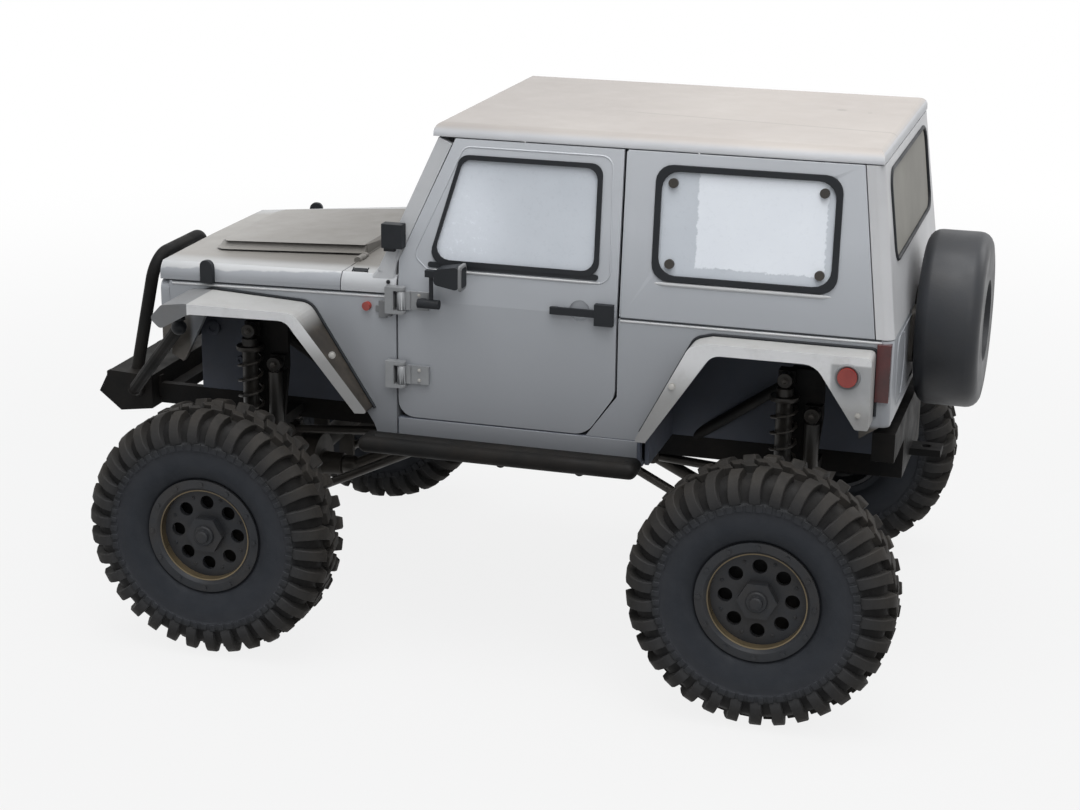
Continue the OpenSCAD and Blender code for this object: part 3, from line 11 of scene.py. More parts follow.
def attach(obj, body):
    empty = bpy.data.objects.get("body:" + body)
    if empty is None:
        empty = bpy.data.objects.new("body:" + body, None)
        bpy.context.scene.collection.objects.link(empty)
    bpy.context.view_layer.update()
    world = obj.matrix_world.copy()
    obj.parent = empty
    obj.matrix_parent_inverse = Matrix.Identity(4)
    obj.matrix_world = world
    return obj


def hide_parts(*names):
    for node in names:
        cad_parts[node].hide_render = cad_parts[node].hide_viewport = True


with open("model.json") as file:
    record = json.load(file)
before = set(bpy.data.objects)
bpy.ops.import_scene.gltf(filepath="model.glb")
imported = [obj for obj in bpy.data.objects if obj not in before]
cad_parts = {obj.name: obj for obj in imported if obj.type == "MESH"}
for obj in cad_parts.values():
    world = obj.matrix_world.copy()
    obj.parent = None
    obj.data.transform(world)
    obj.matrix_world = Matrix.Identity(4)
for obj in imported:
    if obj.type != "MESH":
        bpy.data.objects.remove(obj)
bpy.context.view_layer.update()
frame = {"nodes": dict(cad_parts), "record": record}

nodes = frame["nodes"]
slot_of = {s["node"]: s["material_slot"] for s in frame["record"]["subparts"]}
scene = bpy.context.scene
MM = 0.001
X, Y, Z = 0, 1, 2

# Main stations of the model, in millimetres: +X forward, +Y left, +Z up
FRONT_X, REAR_X, WHEEL_Y, TYRE_R = 140.75, -162.25, 133.0, 69.5
DOOR_F, DOOR_R, TAIL, NOSE = 47.75, -73.75, -216.75, 197.75
HALF, BELT = 98.0, 197.0
# Seam under the hood, which falls towards the nose, and the hood's height over it
SEAM_Z, SEAM_FALL, HOOD_H = 199.0, math.radians(3.6), 12.0
# Lean of the sides above the belt, taper of the nose, lean of the rear
TUMBLE = math.atan(9.5 / 87.0)
TAPER = math.atan(24.0 / 150.0)
TAIL_LEAN = math.atan(0.126)


# Materials

Finish = namedtuple("Finish", "rough spread metal grain bump coat spec",
                    defaults=(0.08, 0.0, 900.0, 0.12, 0.0, 0.25))
BUMP_DEPTH = 0.0002
COAT_ROUGH = 0.25
SOIL = (0.14, 0.11, 0.08)
# Share of a surface's direction along an axis, from turned away to facing it
FACES_FRONT, FACES_UP, LIES_FLAT = (0.4, 0.7), (0.35, 0.85), (0.9, 0.995)
FACES_OUT, FACES_FLANK = (0.4, 0.8), (0.35, 0.6)


class Graph:
    """A node tree with short words for the nodes used here. Places are in millimetres."""

    def __init__(self, tree):
        self.tree = tree
        tree.nodes.clear()

    def node(self, kind):
        return self.tree.nodes.new("ShaderNode" + kind)

    def feed(self, sock, val):
        if isinstance(val, bpy.types.NodeSocket):
            self.tree.links.new(val, sock)
        else:
            sock.default_value = (*val, 1.0) if isinstance(val, tuple) else val

    def axis(self, k, kind="Object"):
        sep = self.node("SeparateXYZ")
        self.feed(sep.inputs[0], self.node("TexCoord").outputs[kind])
        return sep.outputs[k]

    def place(self, k):
        return self.calc("DIVIDE", self.axis(k), MM)

    def facing(self, k):
        return self.axis(k, "Normal")

    def calc(self, kind, a, b=0.0, c=0.0):
        m = self.node("Math")
        m.operation = kind
        for sock, val in zip(m.inputs, (a, b, c)):
            self.feed(sock, val)
        return m.outputs[0]

    def minus(self, a, b):
        return self.calc("SUBTRACT", a, b)

    def size(self, a):
        return self.calc("ABSOLUTE", a)

    def all_of(self, *vals):
        product = vals[0]
        for val in vals[1:]:
            product = self.calc("MULTIPLY", product, val)
        return product

    def most(self, a, b):
        return self.calc("MAXIMUM", a, b)

    def length(self, a, b):
        squares = self.calc("ADD", self.all_of(a, a), self.all_of(b, b))
        return self.calc("SQRT", squares)

    def above(self, val, edge):
        """0 below the edge (low, high), 1 above it, smooth between."""
        r = self.node("MapRange")
        r.interpolation_type = "SMOOTHSTEP"
        r.inputs["From Min"].default_value, r.inputs["From Max"].default_value = edge
        self.feed(r.inputs["Value"], val)
        return r.outputs[0]

    def below(self, val, edge):
        return self.minus(1.0, self.above(val, edge))

    def noise(self, scale, detail=4.0, rough=0.55):
        n = self.node("TexNoise")
        self.feed(n.inputs["Vector"], self.node("TexCoord").outputs["Object"])
        self.feed(n.inputs["Scale"], scale)
        self.feed(n.inputs["Detail"], detail)
        self.feed(n.inputs["Roughness"], rough)
        return n.outputs["Fac"]

    def ramp(self, fac, stops):
        """Colours (r, g, b) or plain values at each stop."""
        r = self.node("ValToRGB")
        el = r.color_ramp.elements
        while len(el) < len(stops):
            el.new(0.5)
        for e, (p, c) in zip(el, stops):
            e.position = p
            e.color = (*c, 1.0) if isinstance(c, tuple) else (c, c, c, 1.0)
        self.feed(r.inputs[0], fac)
        return r.outputs[0]

    def between(self, fac, low, high):
        return self.ramp(fac, [(0.3, low), (0.7, high)])

    def cloudy(self, low, high, scale=14.0):
        return self.ramp(self.noise(scale, 5.0), [(0.32, low), (0.68, high)])

    def mix(self, fac, a, b):
        m = self.node("Mix")
        m.data_type = "RGBA"
        self.feed(m.inputs[0], fac)
        self.feed(m.inputs[6], a)
        self.feed(m.inputs[7], b)
        return m.outputs[2]


M = {}


class Paint(Graph):
    """A material with one principled surface, kept in M under its name."""

    def __init__(self, name):
        M[name] = bpy.data.materials.new(name)
        M[name].use_nodes = True
        super().__init__(M[name].node_tree)
        self.bsdf = self.node("BsdfPrincipled")
        self.out = self.node("OutputMaterial")
        self.feed(self.out.inputs[0], self.bsdf.outputs[0])

    def set(self, **vals):
        """Principled inputs by name, with _ for a blank."""
        for word, val in vals.items():
            self.feed(self.bsdf.inputs[word.replace("_", " ")], val)

    def bump(self, height, strength, depth=BUMP_DEPTH):
        b = self.node("Bump")
        self.feed(b.inputs["Strength"], strength)
        self.feed(b.inputs["Distance"], depth)
        self.feed(b.inputs["Height"], height)
        self.set(Normal=b.outputs[0])

    def finish(self, colour, f):
        """Colour with uneven gloss and fine grain."""
        rough = self.between(self.noise(60.0, 6.0), f.rough - f.spread, f.rough + f.spread)
        self.set(Base_Color=colour, Roughness=rough, Metallic=f.metal, Coat_Weight=f.coat,
                 Coat_Roughness=COAT_ROUGH, Specular_IOR_Level=f.spec)
        self.bump(self.noise(f.grain, 3.0), f.bump)


def plastic(name, finish, low, high, dust=None, amount=0.0):
    """Moulded or plated surface: cloudy colour, with dust in patches."""
    p = Paint(name)
    colour = p.cloudy(low, high)
    if dust:
        patch = p.ramp(p.noise(38.0, 8.0, 0.7), [(0.42, 0.0), (0.75, amount)])
        colour = p.mix(patch, colour, dust)
    p.finish(colour, finish)


# Name: finish, colour from and to, dust and its amount
PLASTICS = {
    "post_silver": (Finish(0.42, 0.05, 0.1, 1400, 0.06, 0.12), (0.47, 0.472, 0.482), (0.55, 0.552, 0.56)),
    # paler finish of rolled edges and ledges: painted highlight
    "bright_edge": (Finish(0.4, 0.06, 0.1, bump=0.1), (0.5, 0.505, 0.51), (0.6, 0.605, 0.61)),
    "black_plastic": (Finish(0.5, 0.1, grain=1200, bump=0.2, spec=0.2),
                      (0.012, 0.0135, 0.016), (0.02, 0.022, 0.025)),
    "chassis_steel": (Finish(0.6, 0.12, grain=700, bump=0.25, spec=0.1),
                      (0.006, 0.006, 0.0065), (0.011, 0.011, 0.0105), (0.026, 0.021, 0.017), 0.45),
    "cast_alloy": (Finish(0.62, 0.1, grain=420, bump=0.5, spec=0.2),
                   (0.015, 0.0145, 0.014), (0.03, 0.028, 0.025), (0.07, 0.057, 0.043), 0.6),
    "link_steel": (Finish(0.45, 0.12, 0.3, 600, 0.25, spec=0.3),
                   (0.03, 0.028, 0.026), (0.055, 0.051, 0.046), (0.08, 0.063, 0.047), 0.4),
    "damper_alloy": (Finish(0.42, 0.1, 0.2),
                     (0.014, 0.0135, 0.013), (0.026, 0.025, 0.023), (0.06, 0.047, 0.035), 0.45),
    "spring_steel": (Finish(0.45, 0.1, 0.2, bump=0.15),
                     (0.018, 0.017, 0.016), (0.034, 0.031, 0.028), (0.07, 0.055, 0.04), 0.4),
    "dark_tray": (Finish(0.65, grain=800, bump=0.2, spec=0.2),
                  (0.085, 0.096, 0.121), (0.118, 0.13, 0.158), (0.11, 0.098, 0.086), 0.3),
    "spare_vinyl": (Finish(0.45, grain=700, bump=0.25, spec=0.3),
                    (0.017, 0.019, 0.023), (0.027, 0.029, 0.033), (0.05, 0.043, 0.036), 0.2),
    "wheel_grey": (Finish(0.48, 0.1, 0.1, bump=0.15),
                   (0.018, 0.02, 0.0235), (0.032, 0.034, 0.038), (0.06, 0.048, 0.036), 0.35),
    "motor_can": (Finish(0.32, metal=0.9, grain=500, bump=0.1), (0.25, 0.26, 0.27), (0.35, 0.36, 0.37)),
    "battery_wrap": (Finish(0.35, 0.06, bump=0.1), (0.02, 0.04, 0.1), (0.03, 0.055, 0.13)),
    "clear_lens": (Finish(0.12, 0.05, 0.2, 300, 0.1, 0.8, 0.5), (0.5, 0.52, 0.54), (0.65, 0.67, 0.69)),
    "grey_trim": (Finish(0.5, 0.06), (0.16, 0.165, 0.17), (0.22, 0.225, 0.23), SOIL, 0.2),
    # gold of the wheels' inner lip: painted glint
    "gold_lip": (Finish(0.35, 0.1, 0.5, 700, 0.15, spec=0.4), (0.09, 0.07, 0.042), (0.2, 0.155, 0.09)),
    "pale_screw": (Finish(0.35, 0.1, 0.6, 700, 0.2, spec=0.4),
                   (0.32, 0.315, 0.3), (0.46, 0.45, 0.43), SOIL, 0.3),
}


TAIL_LAMP_EDGE = (-208.8, -208.4)


def red_lens():
    """Red lenses: dull markers, and darker lamps round the rear corners."""
    p = Paint("red_lens")
    marker = p.cloudy((0.2, 0.018, 0.014), (0.3, 0.042, 0.03), 90.0)
    tail = p.cloudy((0.03, 0.008, 0.008), (0.085, 0.014, 0.014), 60.0)
    colour = p.mix(p.below(p.place(X), TAIL_LAMP_EDGE), marker, tail)
    p.finish(colour, Finish(0.22, 0.06, 0.0, 300, 0.1, 0.3, 0.35))


# Body: painted light and shade by height, and the places where soil and the hinge leaves begin
TONE_FROM, TONE_SPAN = 120.0, 170.0
BODY_LIGHT_TONES = [(0.03, (0.225, 0.234, 0.25)), (0.26, (0.31, 0.322, 0.342)), (0.5, (0.38, 0.396, 0.42)),
              (0.74, (0.5, 0.52, 0.55)), (1.0, (0.53, 0.548, 0.575))]
REAR_SOIL_X, REAR_SOIL_Z = (-197.0, -190.0), (149.5, 152.5)
NOSE_SOIL_X, NOSE_SOIL_Z = (176.0, 180.0), (168.0, 176.0)
PROUD_Y = (HALF + 0.5, HALF + 0.7)


def silver_body():
    """Satin silver with painted shade, darker towards the sills, and painted light, paler towards the roof,
    with soil on the lower corners. The hinge leaves, proud of the sides, are darker castings."""
    p = Paint("silver_body")
    x, z = p.place(X), p.place(Z)
    share = p.calc("DIVIDE", p.minus(z, TONE_FROM), TONE_SPAN)
    patch = p.between(p.noise(14.0, 5.0), 0.0, 0.12)
    # painted light and shade: the ramp darkens the sides towards the sills and lightens them towards the roof
    colour = p.mix(patch, p.ramp(share, BODY_LIGHT_TONES), (0.2, 0.205, 0.215))
    rear_low = p.minus(1.0, p.most(p.above(z, REAR_SOIL_Z), p.above(x, REAR_SOIL_X)))
    sideways = p.below(p.facing(X), FACES_FRONT)
    nose_low = p.all_of(p.above(x, NOSE_SOIL_X), p.below(z, NOSE_SOIL_Z), sideways)
    soil = p.cloudy((0.06, 0.054, 0.047), (0.1, 0.09, 0.079), 40.0)
    colour = p.mix(p.most(rear_low, nose_low), colour, soil)
    leaf = p.cloudy((0.22, 0.226, 0.232), (0.27, 0.276, 0.282), 60.0)
    colour = p.mix(p.above(p.size(p.place(Y)), PROUD_Y), colour, leaf)
    p.finish(colour, Finish(0.42, 0.05, 0.1, 1400, 0.06, 0.12))


# Roof: where it dulls, the painted shade of the faint crease of the moulding, and its marks (x, y, radius)
DULL_X = (-160.0, 30.0)
CREASE_SLOPE, CREASE_Y, CREASE_HALF, CREASE_END = -0.113, 13.6, (0.4, 1.6), (-70.0, -45.0)
ROOF_MARKS = ((-166.5, -25.0, 3.5), (-182.5, -20.6, 1.6))


def roof_silver():
    """Sun-warmed top, duller towards the windscreen, with painted shade along the faint crease of the
    moulding and its faint marks.
    """
    p = Paint("roof_silver")
    x, y = p.place(X), p.place(Y)
    rear = p.cloudy((0.39, 0.357, 0.333), (0.425, 0.391, 0.363))
    front = p.cloudy((0.325, 0.3, 0.283), (0.36, 0.334, 0.314))
    top = p.mix(p.above(x, DULL_X), rear, front)
    # painted shade: a faint dark line along the crease of the moulding
    off = p.size(p.minus(y, p.calc("MULTIPLY_ADD", x, CREASE_SLOPE, CREASE_Y)))
    crease = p.all_of(p.below(off, CREASE_HALF), p.below(x, CREASE_END), 0.3)
    top = p.mix(crease, top, (0.16, 0.145, 0.135))
    for mark_x, mark_y, r in ROOF_MARKS:
        away = p.length(p.minus(x, mark_x), p.minus(y, mark_y))
        top = p.mix(p.all_of(p.below(away, (r * 0.6, r)), 0.35), top, (0.17, 0.15, 0.14))
    side = p.cloudy((0.475, 0.482, 0.5), (0.54, 0.547, 0.565))
    colour = p.mix(p.above(p.facing(Z), FACES_UP), side, top)
    p.finish(colour, Finish(0.48, 0.06, 0.05, 1400, 0.06, 0.05))


# Hood: fall and wobble of the lower edge of the painted reflection along its sides, and where the top's
# colour changes along it, ends in a painted highlight at the rounded edges and takes in the hinges
REFLECTION_FALL, REFLECTION_WOBBLE, REFLECTION_Z = 0.088, 6.0, (213.2, 214.2)
TOP_X, TOP_HIGHLIGHT_WIDTH = (90.0, 200.0), (83.0, 98.0)
HINGE_Y, HINGE_FROM, HINGE_TO = (74.0, 77.0), (60.0, 62.0), (100.0, 120.0)
HOOD_FINISH = Finish(0.45, 0.06, 0.05, 1400, 0.06, 0.08)


def hood_top(p):
    rear = p.cloudy((0.142, 0.133, 0.121), (0.165, 0.156, 0.143), 9.0)
    front = p.cloudy((0.26, 0.249, 0.234), (0.3, 0.288, 0.272), 9.0)
    top = p.mix(p.above(p.place(X), TOP_X), rear, front)
    width = p.calc("MULTIPLY_ADD", p.place(X), math.tan(TAPER), p.size(p.place(Y)))
    # painted highlight: the top turns paler along its rounded edges
    return p.mix(p.above(width, TOP_HIGHLIGHT_WIDTH), top, p.cloudy((0.34, 0.342, 0.342), (0.39, 0.392, 0.392)))


def hood_side_reflection(p):
    # painted reflection: a bright band along the top of the sides, above a wavy line
    wobble = p.all_of(p.minus(p.noise(55.0, 3.0), 0.5), REFLECTION_WOBBLE)
    height = p.calc("MULTIPLY_ADD", p.place(X), REFLECTION_FALL, p.place(Z))
    dull = p.cloudy((0.31, 0.322, 0.342), (0.35, 0.362, 0.382))
    bright = p.cloudy((0.46, 0.466, 0.472), (0.53, 0.534, 0.538))
    return p.mix(p.above(p.calc("ADD", height, wobble), REFLECTION_Z), dull, bright)


def cowl_side(p):
    return p.cloudy((0.47, 0.478, 0.49), (0.55, 0.558, 0.57))


def hood_paint(name, side):
    """Dusty warm top, with a painted highlight at its rounded edges, over cool sides, which on the hood carry
    a painted reflection along their top; the hinges take the colour of the top.
    """
    p = Paint(name)
    top = hood_top(p)
    x, y = p.place(X), p.size(p.place(Y))
    hinges = p.all_of(p.below(y, HINGE_Y), p.above(x, HINGE_FROM), p.below(x, HINGE_TO))
    colour = p.mix(p.above(p.facing(Z), LIES_FLAT), p.mix(hinges, side(p), top), top)
    p.finish(colour, HOOD_FINISH)


def hood_panel():
    p = Paint("hood_panel")
    p.finish(hood_top(p), HOOD_FINISH)


# Flares: heights where the foot, the soil with painted shade and the lip end, painted shade on the nose of
# the front pair, and painted shade in the recess round the rear markers
FOOT_Z, SOIL_AND_SHADE_Z, LIP_Z, NOSE_SHADE_X = (135.0, 180.0), (176.0, 187.0), (160.0, 184.0), (162.5, 163.0)
RECESS_X, RECESS_LOW, RECESS_TOP = (-189.5, -187.5), (160.0, 176.0), (186.5, 188.0)


def flare_paint(name, flank):
    """Pale arch trim with brown dust and painted shade on the flank of the leg, which faces flank along x,
    painted shade in the rear pair's marker recess and on the front pair's nose.
    """
    p = Paint(name)
    x, z = p.place(X), p.place(Z)
    fine = p.noise(60.0, 7.0, 0.7)
    outward = p.above(p.size(p.facing(Y)), FACES_OUT)
    low = p.cloudy((0.24, 0.24, 0.238), (0.29, 0.289, 0.285))
    high = p.cloudy((0.33, 0.329, 0.324), (0.38, 0.378, 0.37))
    lip = p.cloudy((0.67, 0.672, 0.675), (0.74, 0.742, 0.745))
    colour = p.mix(p.above(z, FOOT_Z), low, high)
    colour = p.mix(p.all_of(outward, p.above(z, LIP_Z)), colour, lip)
    if flank > 0:
        # painted shade in the recess round the marker
        band = p.minus(p.above(z, RECESS_LOW), p.above(z, RECESS_TOP))
        recess = p.cloudy((0.34, 0.345, 0.35), (0.42, 0.425, 0.43), 40.0)
        colour = p.mix(p.all_of(p.below(x, RECESS_X), band, outward), colour, recess)
    # brown dust and painted shade on the flank of the leg
    turned = p.above(p.all_of(p.facing(X), flank), FACES_FLANK)
    soil = p.between(fine, (0.022, 0.0195, 0.017), (0.06, 0.052, 0.044))
    colour = p.mix(p.all_of(turned, p.below(z, SOIL_AND_SHADE_Z)), colour, soil)
    if flank < 0:
        # painted shade on the nose of the front pair, which turns away from the light
        nose_shade = p.cloudy((0.15, 0.153, 0.157), (0.2, 0.203, 0.206))
        colour = p.mix(p.above(x, NOSE_SHADE_X), colour, nose_shade)
    colour = p.mix(p.ramp(fine, [(0.5, 0.0), (0.8, 0.22)]), colour, SOIL)
    p.finish(colour, Finish(0.5, 0.06, bump=0.1))


# Panes: painted reflections, a bright field in the quarter windows with its ragged edge, and pale flecks in
# the lower front corner of the door windows
REFLECTION_FIELD_X, REFLECTION_FIELD_Z, REFLECTION_FIELD_EDGE, RAGGED = (-179.5, -112.5), (225.5, 274.5), (0.0, 0.8), 5.0
REFLECTION_SPOT_X, REFLECTION_SPOT_Z, REFLECTION_SPOT_R = 20.0, 238.0, 46.0


def film(p, colour, fleck, rough, relief, gloss):
    """Surface of a pane, roughened by its flecks."""
    p.set(Base_Color=colour, Roughness=p.between(fleck, rough, rough + 2.0 * relief),
          Coat_Weight=gloss / 2, Coat_Roughness=0.15, Specular_IOR_Level=gloss)
    p.bump(fleck, relief)


def flecks(p):
    return p.noise(420.0, 6.0, 0.75)


def silver_pane():
    """Silvery film, with painted reflections: a brighter field in the quarter windows and pale flecks in the
    lower front corner of the door windows.
    """
    p = Paint("silver_pane")
    x, z = p.place(X), p.place(Z)
    fleck = flecks(p)
    # painted reflection: a bright field in the quarter windows with a ragged edge
    ragged = p.all_of(p.minus(p.noise(300.0, 5.0, 0.7), 0.5), RAGGED)
    inside = [p.minus(x, REFLECTION_FIELD_X[0]), p.minus(REFLECTION_FIELD_X[1], x), p.minus(z, REFLECTION_FIELD_Z[0]), p.minus(REFLECTION_FIELD_Z[1], z)]
    field = p.all_of(*(p.above(p.calc("ADD", depth, ragged), REFLECTION_FIELD_EDGE) for depth in inside))
    dull = p.cloudy((0.55, 0.585, 0.63), (0.61, 0.645, 0.69), 22.0)
    bright = p.cloudy((0.8, 0.835, 0.885), (0.85, 0.885, 0.93), 22.0)
    # painted reflection: pale flecks round the lower front corner of the door windows
    away = p.length(p.minus(x, REFLECTION_SPOT_X), p.minus(z, REFLECTION_SPOT_Z))
    near = p.below(away, (0.25 * REFLECTION_SPOT_R, REFLECTION_SPOT_R))
    white = p.all_of(p.above(p.calc("MULTIPLY_ADD", near, 0.12, fleck), (0.55, 0.8)), near)
    reflection_flecks = p.most(white, p.all_of(near, 0.55))
    film(p, p.mix(reflection_flecks, p.mix(field, dull, bright), (0.84, 0.88, 0.94)), fleck, 0.25, 0.04, 0.3)


def grey_pane():
    """Dull film of the rear window."""
    p = Paint("grey_pane")
    colour = p.cloudy((0.285, 0.276, 0.252), (0.335, 0.325, 0.296), 22.0)
    film(p, colour, flecks(p), 0.6, 0.006, 0.04)


# Rubber by the share of the tyre's radius; beyond 0.79 of it the carcass is painted almost black, painted
# shade between the lugs
CARCASS_SHADED_TONES = [(0.45, (0.017, 0.019, 0.023)), (0.6, (0.026, 0.029, 0.035)), (0.71, (0.03, 0.032, 0.037)),
                 (0.765, (0.024, 0.025, 0.027)), (0.79, (0.007, 0.007, 0.0075)),
                 (1.0, (0.008, 0.0075, 0.007))]
LUG_TONES = [(0.7, (0.024, 0.025, 0.027)), (0.8, (0.029, 0.029, 0.03)), (0.92, (0.024, 0.023, 0.022)),
             (1.0, (0.0165, 0.015, 0.0135))]


def rubber(name, tones, dust_amount):
    """Rubber coloured by its distance from the hub, with painted shade on the carcass between the lugs, dusty
    towards the tread.
    """
    p = Paint(name)
    share = p.calc("DIVIDE", p.length(p.place(X), p.place(Z)), TYRE_R)
    dust = p.ramp(p.noise(70.0, 8.0, 0.7), [(0.42, 0.0), (0.78, dust_amount)])
    dusty = p.all_of(dust, p.above(share, (0.7, 1.0)))
    p.set(Base_Color=p.mix(dusty, p.ramp(share, tones), (0.048, 0.04, 0.032)),
          Roughness=p.between(p.noise(120.0, 5.0), 0.6, 0.82), Specular_IOR_Level=0.2)
    p.bump(p.noise(700.0, 6.0, 0.7), 0.35, 0.0003)


for name, values in PLASTICS.items():
    plastic(name, *values)
silver_body()
red_lens()
roof_silver()
hood_paint("hood_silver", hood_side_reflection)
hood_paint("cowl_silver", cowl_side)
hood_panel()
flare_paint("front_flare", -1.0)
flare_paint("rear_flare", 1.0)
silver_pane()
grey_pane()
rubber("tyre_rubber", CARCASS_SHADED_TONES, 0.25)
rubber("lug_rubber", LUG_TONES, 0.4)


# Mesh tools

CAD_ANGLE, NEW_ANGLE = 30, 35


def soften(o, width, segments, angle):
    """Round the edges of an object that turn by more than the angle."""
    b = o.modifiers.new("edge", "BEVEL")
    b.width = width * MM
    b.segments = segments
    b.limit_method = "ANGLE"
    b.angle_limit = math.radians(angle)


class Shape:
    """Gathers faces in millimetres, then becomes one object on a body."""

    def __init__(self):
        self.verts = []
        self.faces = []
        self.kinds = []
        self.kind = 0

    def add(self, verts, faces):
        n = len(self.verts)
        self.verts += [tuple(p) for p in verts]
        self.faces += [tuple(i + n for i in face) for face in faces]
        self.kinds += [self.kind] * len(faces)

    def rings(self, rings, caps=True, loop=False):
        """Skin over closed rings of equal point count; loop joins the last to the first."""
        k, m = len(rings[0]), len(rings)
        faces = []
        for a in range(m if loop else m - 1):
            low, high = a * k, (a + 1) % m * k
            for i in range(k):
                j = (i + 1) % k
                faces.append((low + i, low + j, high + j, high + i))
        if caps and not loop:
            faces += [tuple(range(k - 1, -1, -1)), tuple((m - 1) * k + i for i in range(k))]
        self.add([p for r in rings for p in r], faces)

    def slab(self, place, outline, offsets):
        """Outline laid on a face by place(a, b, offset) at each offset, and skinned."""
        self.rings([[place(a, b, o) for a, b in outline] for o in offsets])

    def lathe(self, profile, origin, axis, segs=32, loop=False):
        """Turned form; the profile holds (distance along the axis, radius)."""
        z = Vector(axis).normalized()
        x = z.orthogonal().normalized()
        y = z.cross(x)
        o = Vector(origin)
        turns = [2 * math.pi * i / segs for i in range(segs)]
        spokes = [x * math.cos(t) + y * math.sin(t) for t in turns]
        self.rings([[o + z * h + spoke * r for spoke in spokes] for h, r in profile], not loop, loop)

    def tube(self, points, r, segs=10, loop=False):
        """Round bar through the points; r is one radius, or one for each point."""
        pts = [Vector(p) for p in points]
        n = len(pts)
        radii = r if hasattr(r, "__len__") else [r] * n
        turns = [2 * math.pi * k / segs for k in range(segs)]
        ref = None
        rings = []
        for i, p in enumerate(pts):
            ahead = pts[(i + 1) % n] if loop else pts[min(i + 1, n - 1)]
            behind = pts[i - 1] if loop else pts[max(i - 1, 0)]
            d = (ahead - behind).normalized()
            ref = d.orthogonal() if ref is None else ref
            ref = (ref - d * ref.dot(d)).normalized()
            w = d.cross(ref)
            rings.append([p + (ref * math.cos(t) + w * math.sin(t)) * radii[i] for t in turns])
        self.rings(rings, True, loop)

    def plate(self, outline, origin, u, v, depth):
        """Flat outline in (u, v) pushed through by depth along u x v."""
        u, v = Vector(u).normalized(), Vector(v).normalized()
        low = [Vector(origin) + u * a + v * b for a, b in outline]
        self.rings([low, [p + u.cross(v) * depth for p in low]])

    def bolt(self, p, axis, d, h):
        """Screw on a washer, with a hexagon on its head."""
        r = d / 2
        head = [(-0.4, r * 1.3), (h * 0.3, r * 1.3), (h * 0.3, r), (h * 0.85, r), (h, r * 0.8)]
        self.lathe(head, p, axis, 16)
        self.lathe([(h * 0.9, r * 0.55), (h + 0.15, r * 0.5)], p, axis, 6)

    def mirrored(self):
        s = Shape()
        s.verts = [(x, -y, z) for x, y, z in self.verts]
        s.faces = [tuple(reversed(f)) for f in self.faces]
        s.kinds = list(self.kinds)
        return s

    def both(self):
        """This form and its mirror image on the other side."""
        m = self.mirrored()
        n = len(self.verts)
        self.verts += m.verts
        self.faces += [tuple(i + n for i in f) for f in m.faces]
        self.kinds += m.kinds
        return self

    def make(self, name, mats, body, bevel=0.0, smooth=40, slot=None):
        mats = [mats] if isinstance(mats, str) else mats
        me = bpy.data.meshes.new(name)
        me.from_pydata([(x * MM, y * MM, z * MM) for x, y, z in self.verts], [], self.faces)
        me.polygons.foreach_set("material_index", self.kinds)
        for m in mats:
            me.materials.append(M[m])
        bm = bmesh.new()
        bm.from_mesh(me)
        bmesh.ops.recalc_face_normals(bm, faces=bm.faces)
        bm.to_mesh(me)
        bm.free()
        for p in me.polygons:
            p.use_smooth = True
        me.set_sharp_from_angle(angle=math.radians(smooth))
        o = bpy.data.objects.new(name, me)
        scene.collection.objects.link(o)
        if bevel:
            soften(o, bevel, 2, NEW_ANGLE)
        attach(o, body)
        slot or mats[0]
        return o


# Places on the body

def side_pt(x, z, o=0.0):
    """Point on the left side, o outwards: upright below the belt, leaning above."""
    lean = TUMBLE if z > BELT else 0.0
    y = HALF - max(z - BELT, 0.0) * math.tan(TUMBLE) + o * math.cos(lean)
    return Vector((x, y, z + o * math.sin(lean)))


def clip_pt(x, z, o=0.0):
    """Point on the tapering left side ahead of the door, o outwards."""
    y = HALF - (x - DOOR_F) * math.tan(TAPER) + o * math.cos(TAPER)
    return Vector((x + o * math.sin(TAPER), y, z))


def seam_z(x):
    return SEAM_Z - (x - DOOR_F) * math.tan(SEAM_FALL)


def hood_pt(x, y, h):
    """Point over the hood: x along it from the door, height above its flat top."""
    c, s = math.cos(SEAM_FALL), math.sin(SEAM_FALL)
    return Vector((DOOR_F + x * c + (HOOD_H + h) * s, y, SEAM_Z - x * s + (HOOD_H + h) * c))


def tail_pt(y, z, o=0.0):
    """Point on the rear at y and height z, o backwards."""
    lean = TAIL_LEAN if z > BELT else 0.0
    x = TAIL + max(z - BELT, 0.0) * math.tan(TAIL_LEAN) - o * math.cos(lean)
    return Vector((x, y, z + o * math.sin(lean)))


def fillet(pts, loop=False, n=5):
    """Corners (a, b, radius) to a line with rounded corners."""
    out, k = [], len(pts)
    for i, (a, b, r) in enumerate(pts):
        p = Vector((a, b))
        if not r or not loop and i in (0, k - 1):
            out.append((a, b))
            continue
        d0 = (Vector(pts[i - 1][:2]) - p).normalized()
        d1 = (Vector(pts[(i + 1) % k][:2]) - p).normalized()
        half = math.acos(max(-1.0, min(1.0, d0.dot(d1)))) / 2
        c = p + (d0 + d1).normalized() * (r / math.sin(half))
        t = r / math.tan(half)
        s, e = p + d0 * t - c, p + d1 * t - c
        a0 = math.atan2(s.y, s.x)
        turn = (math.atan2(e.y, e.x) - a0 + math.pi) % (2 * math.pi) - math.pi
        steps = [a0 + turn * q / n for q in range(n + 1)]
        out += [(c.x + r * math.cos(t), c.y + r * math.sin(t)) for t in steps]
    return out


def box_outline(x0, y0, x1, y1, r):
    return fillet([(x0, y0, r), (x1, y0, r), (x1, y1, r), (x0, y1, r)], True)


# CAD nodes: finish and softened edges

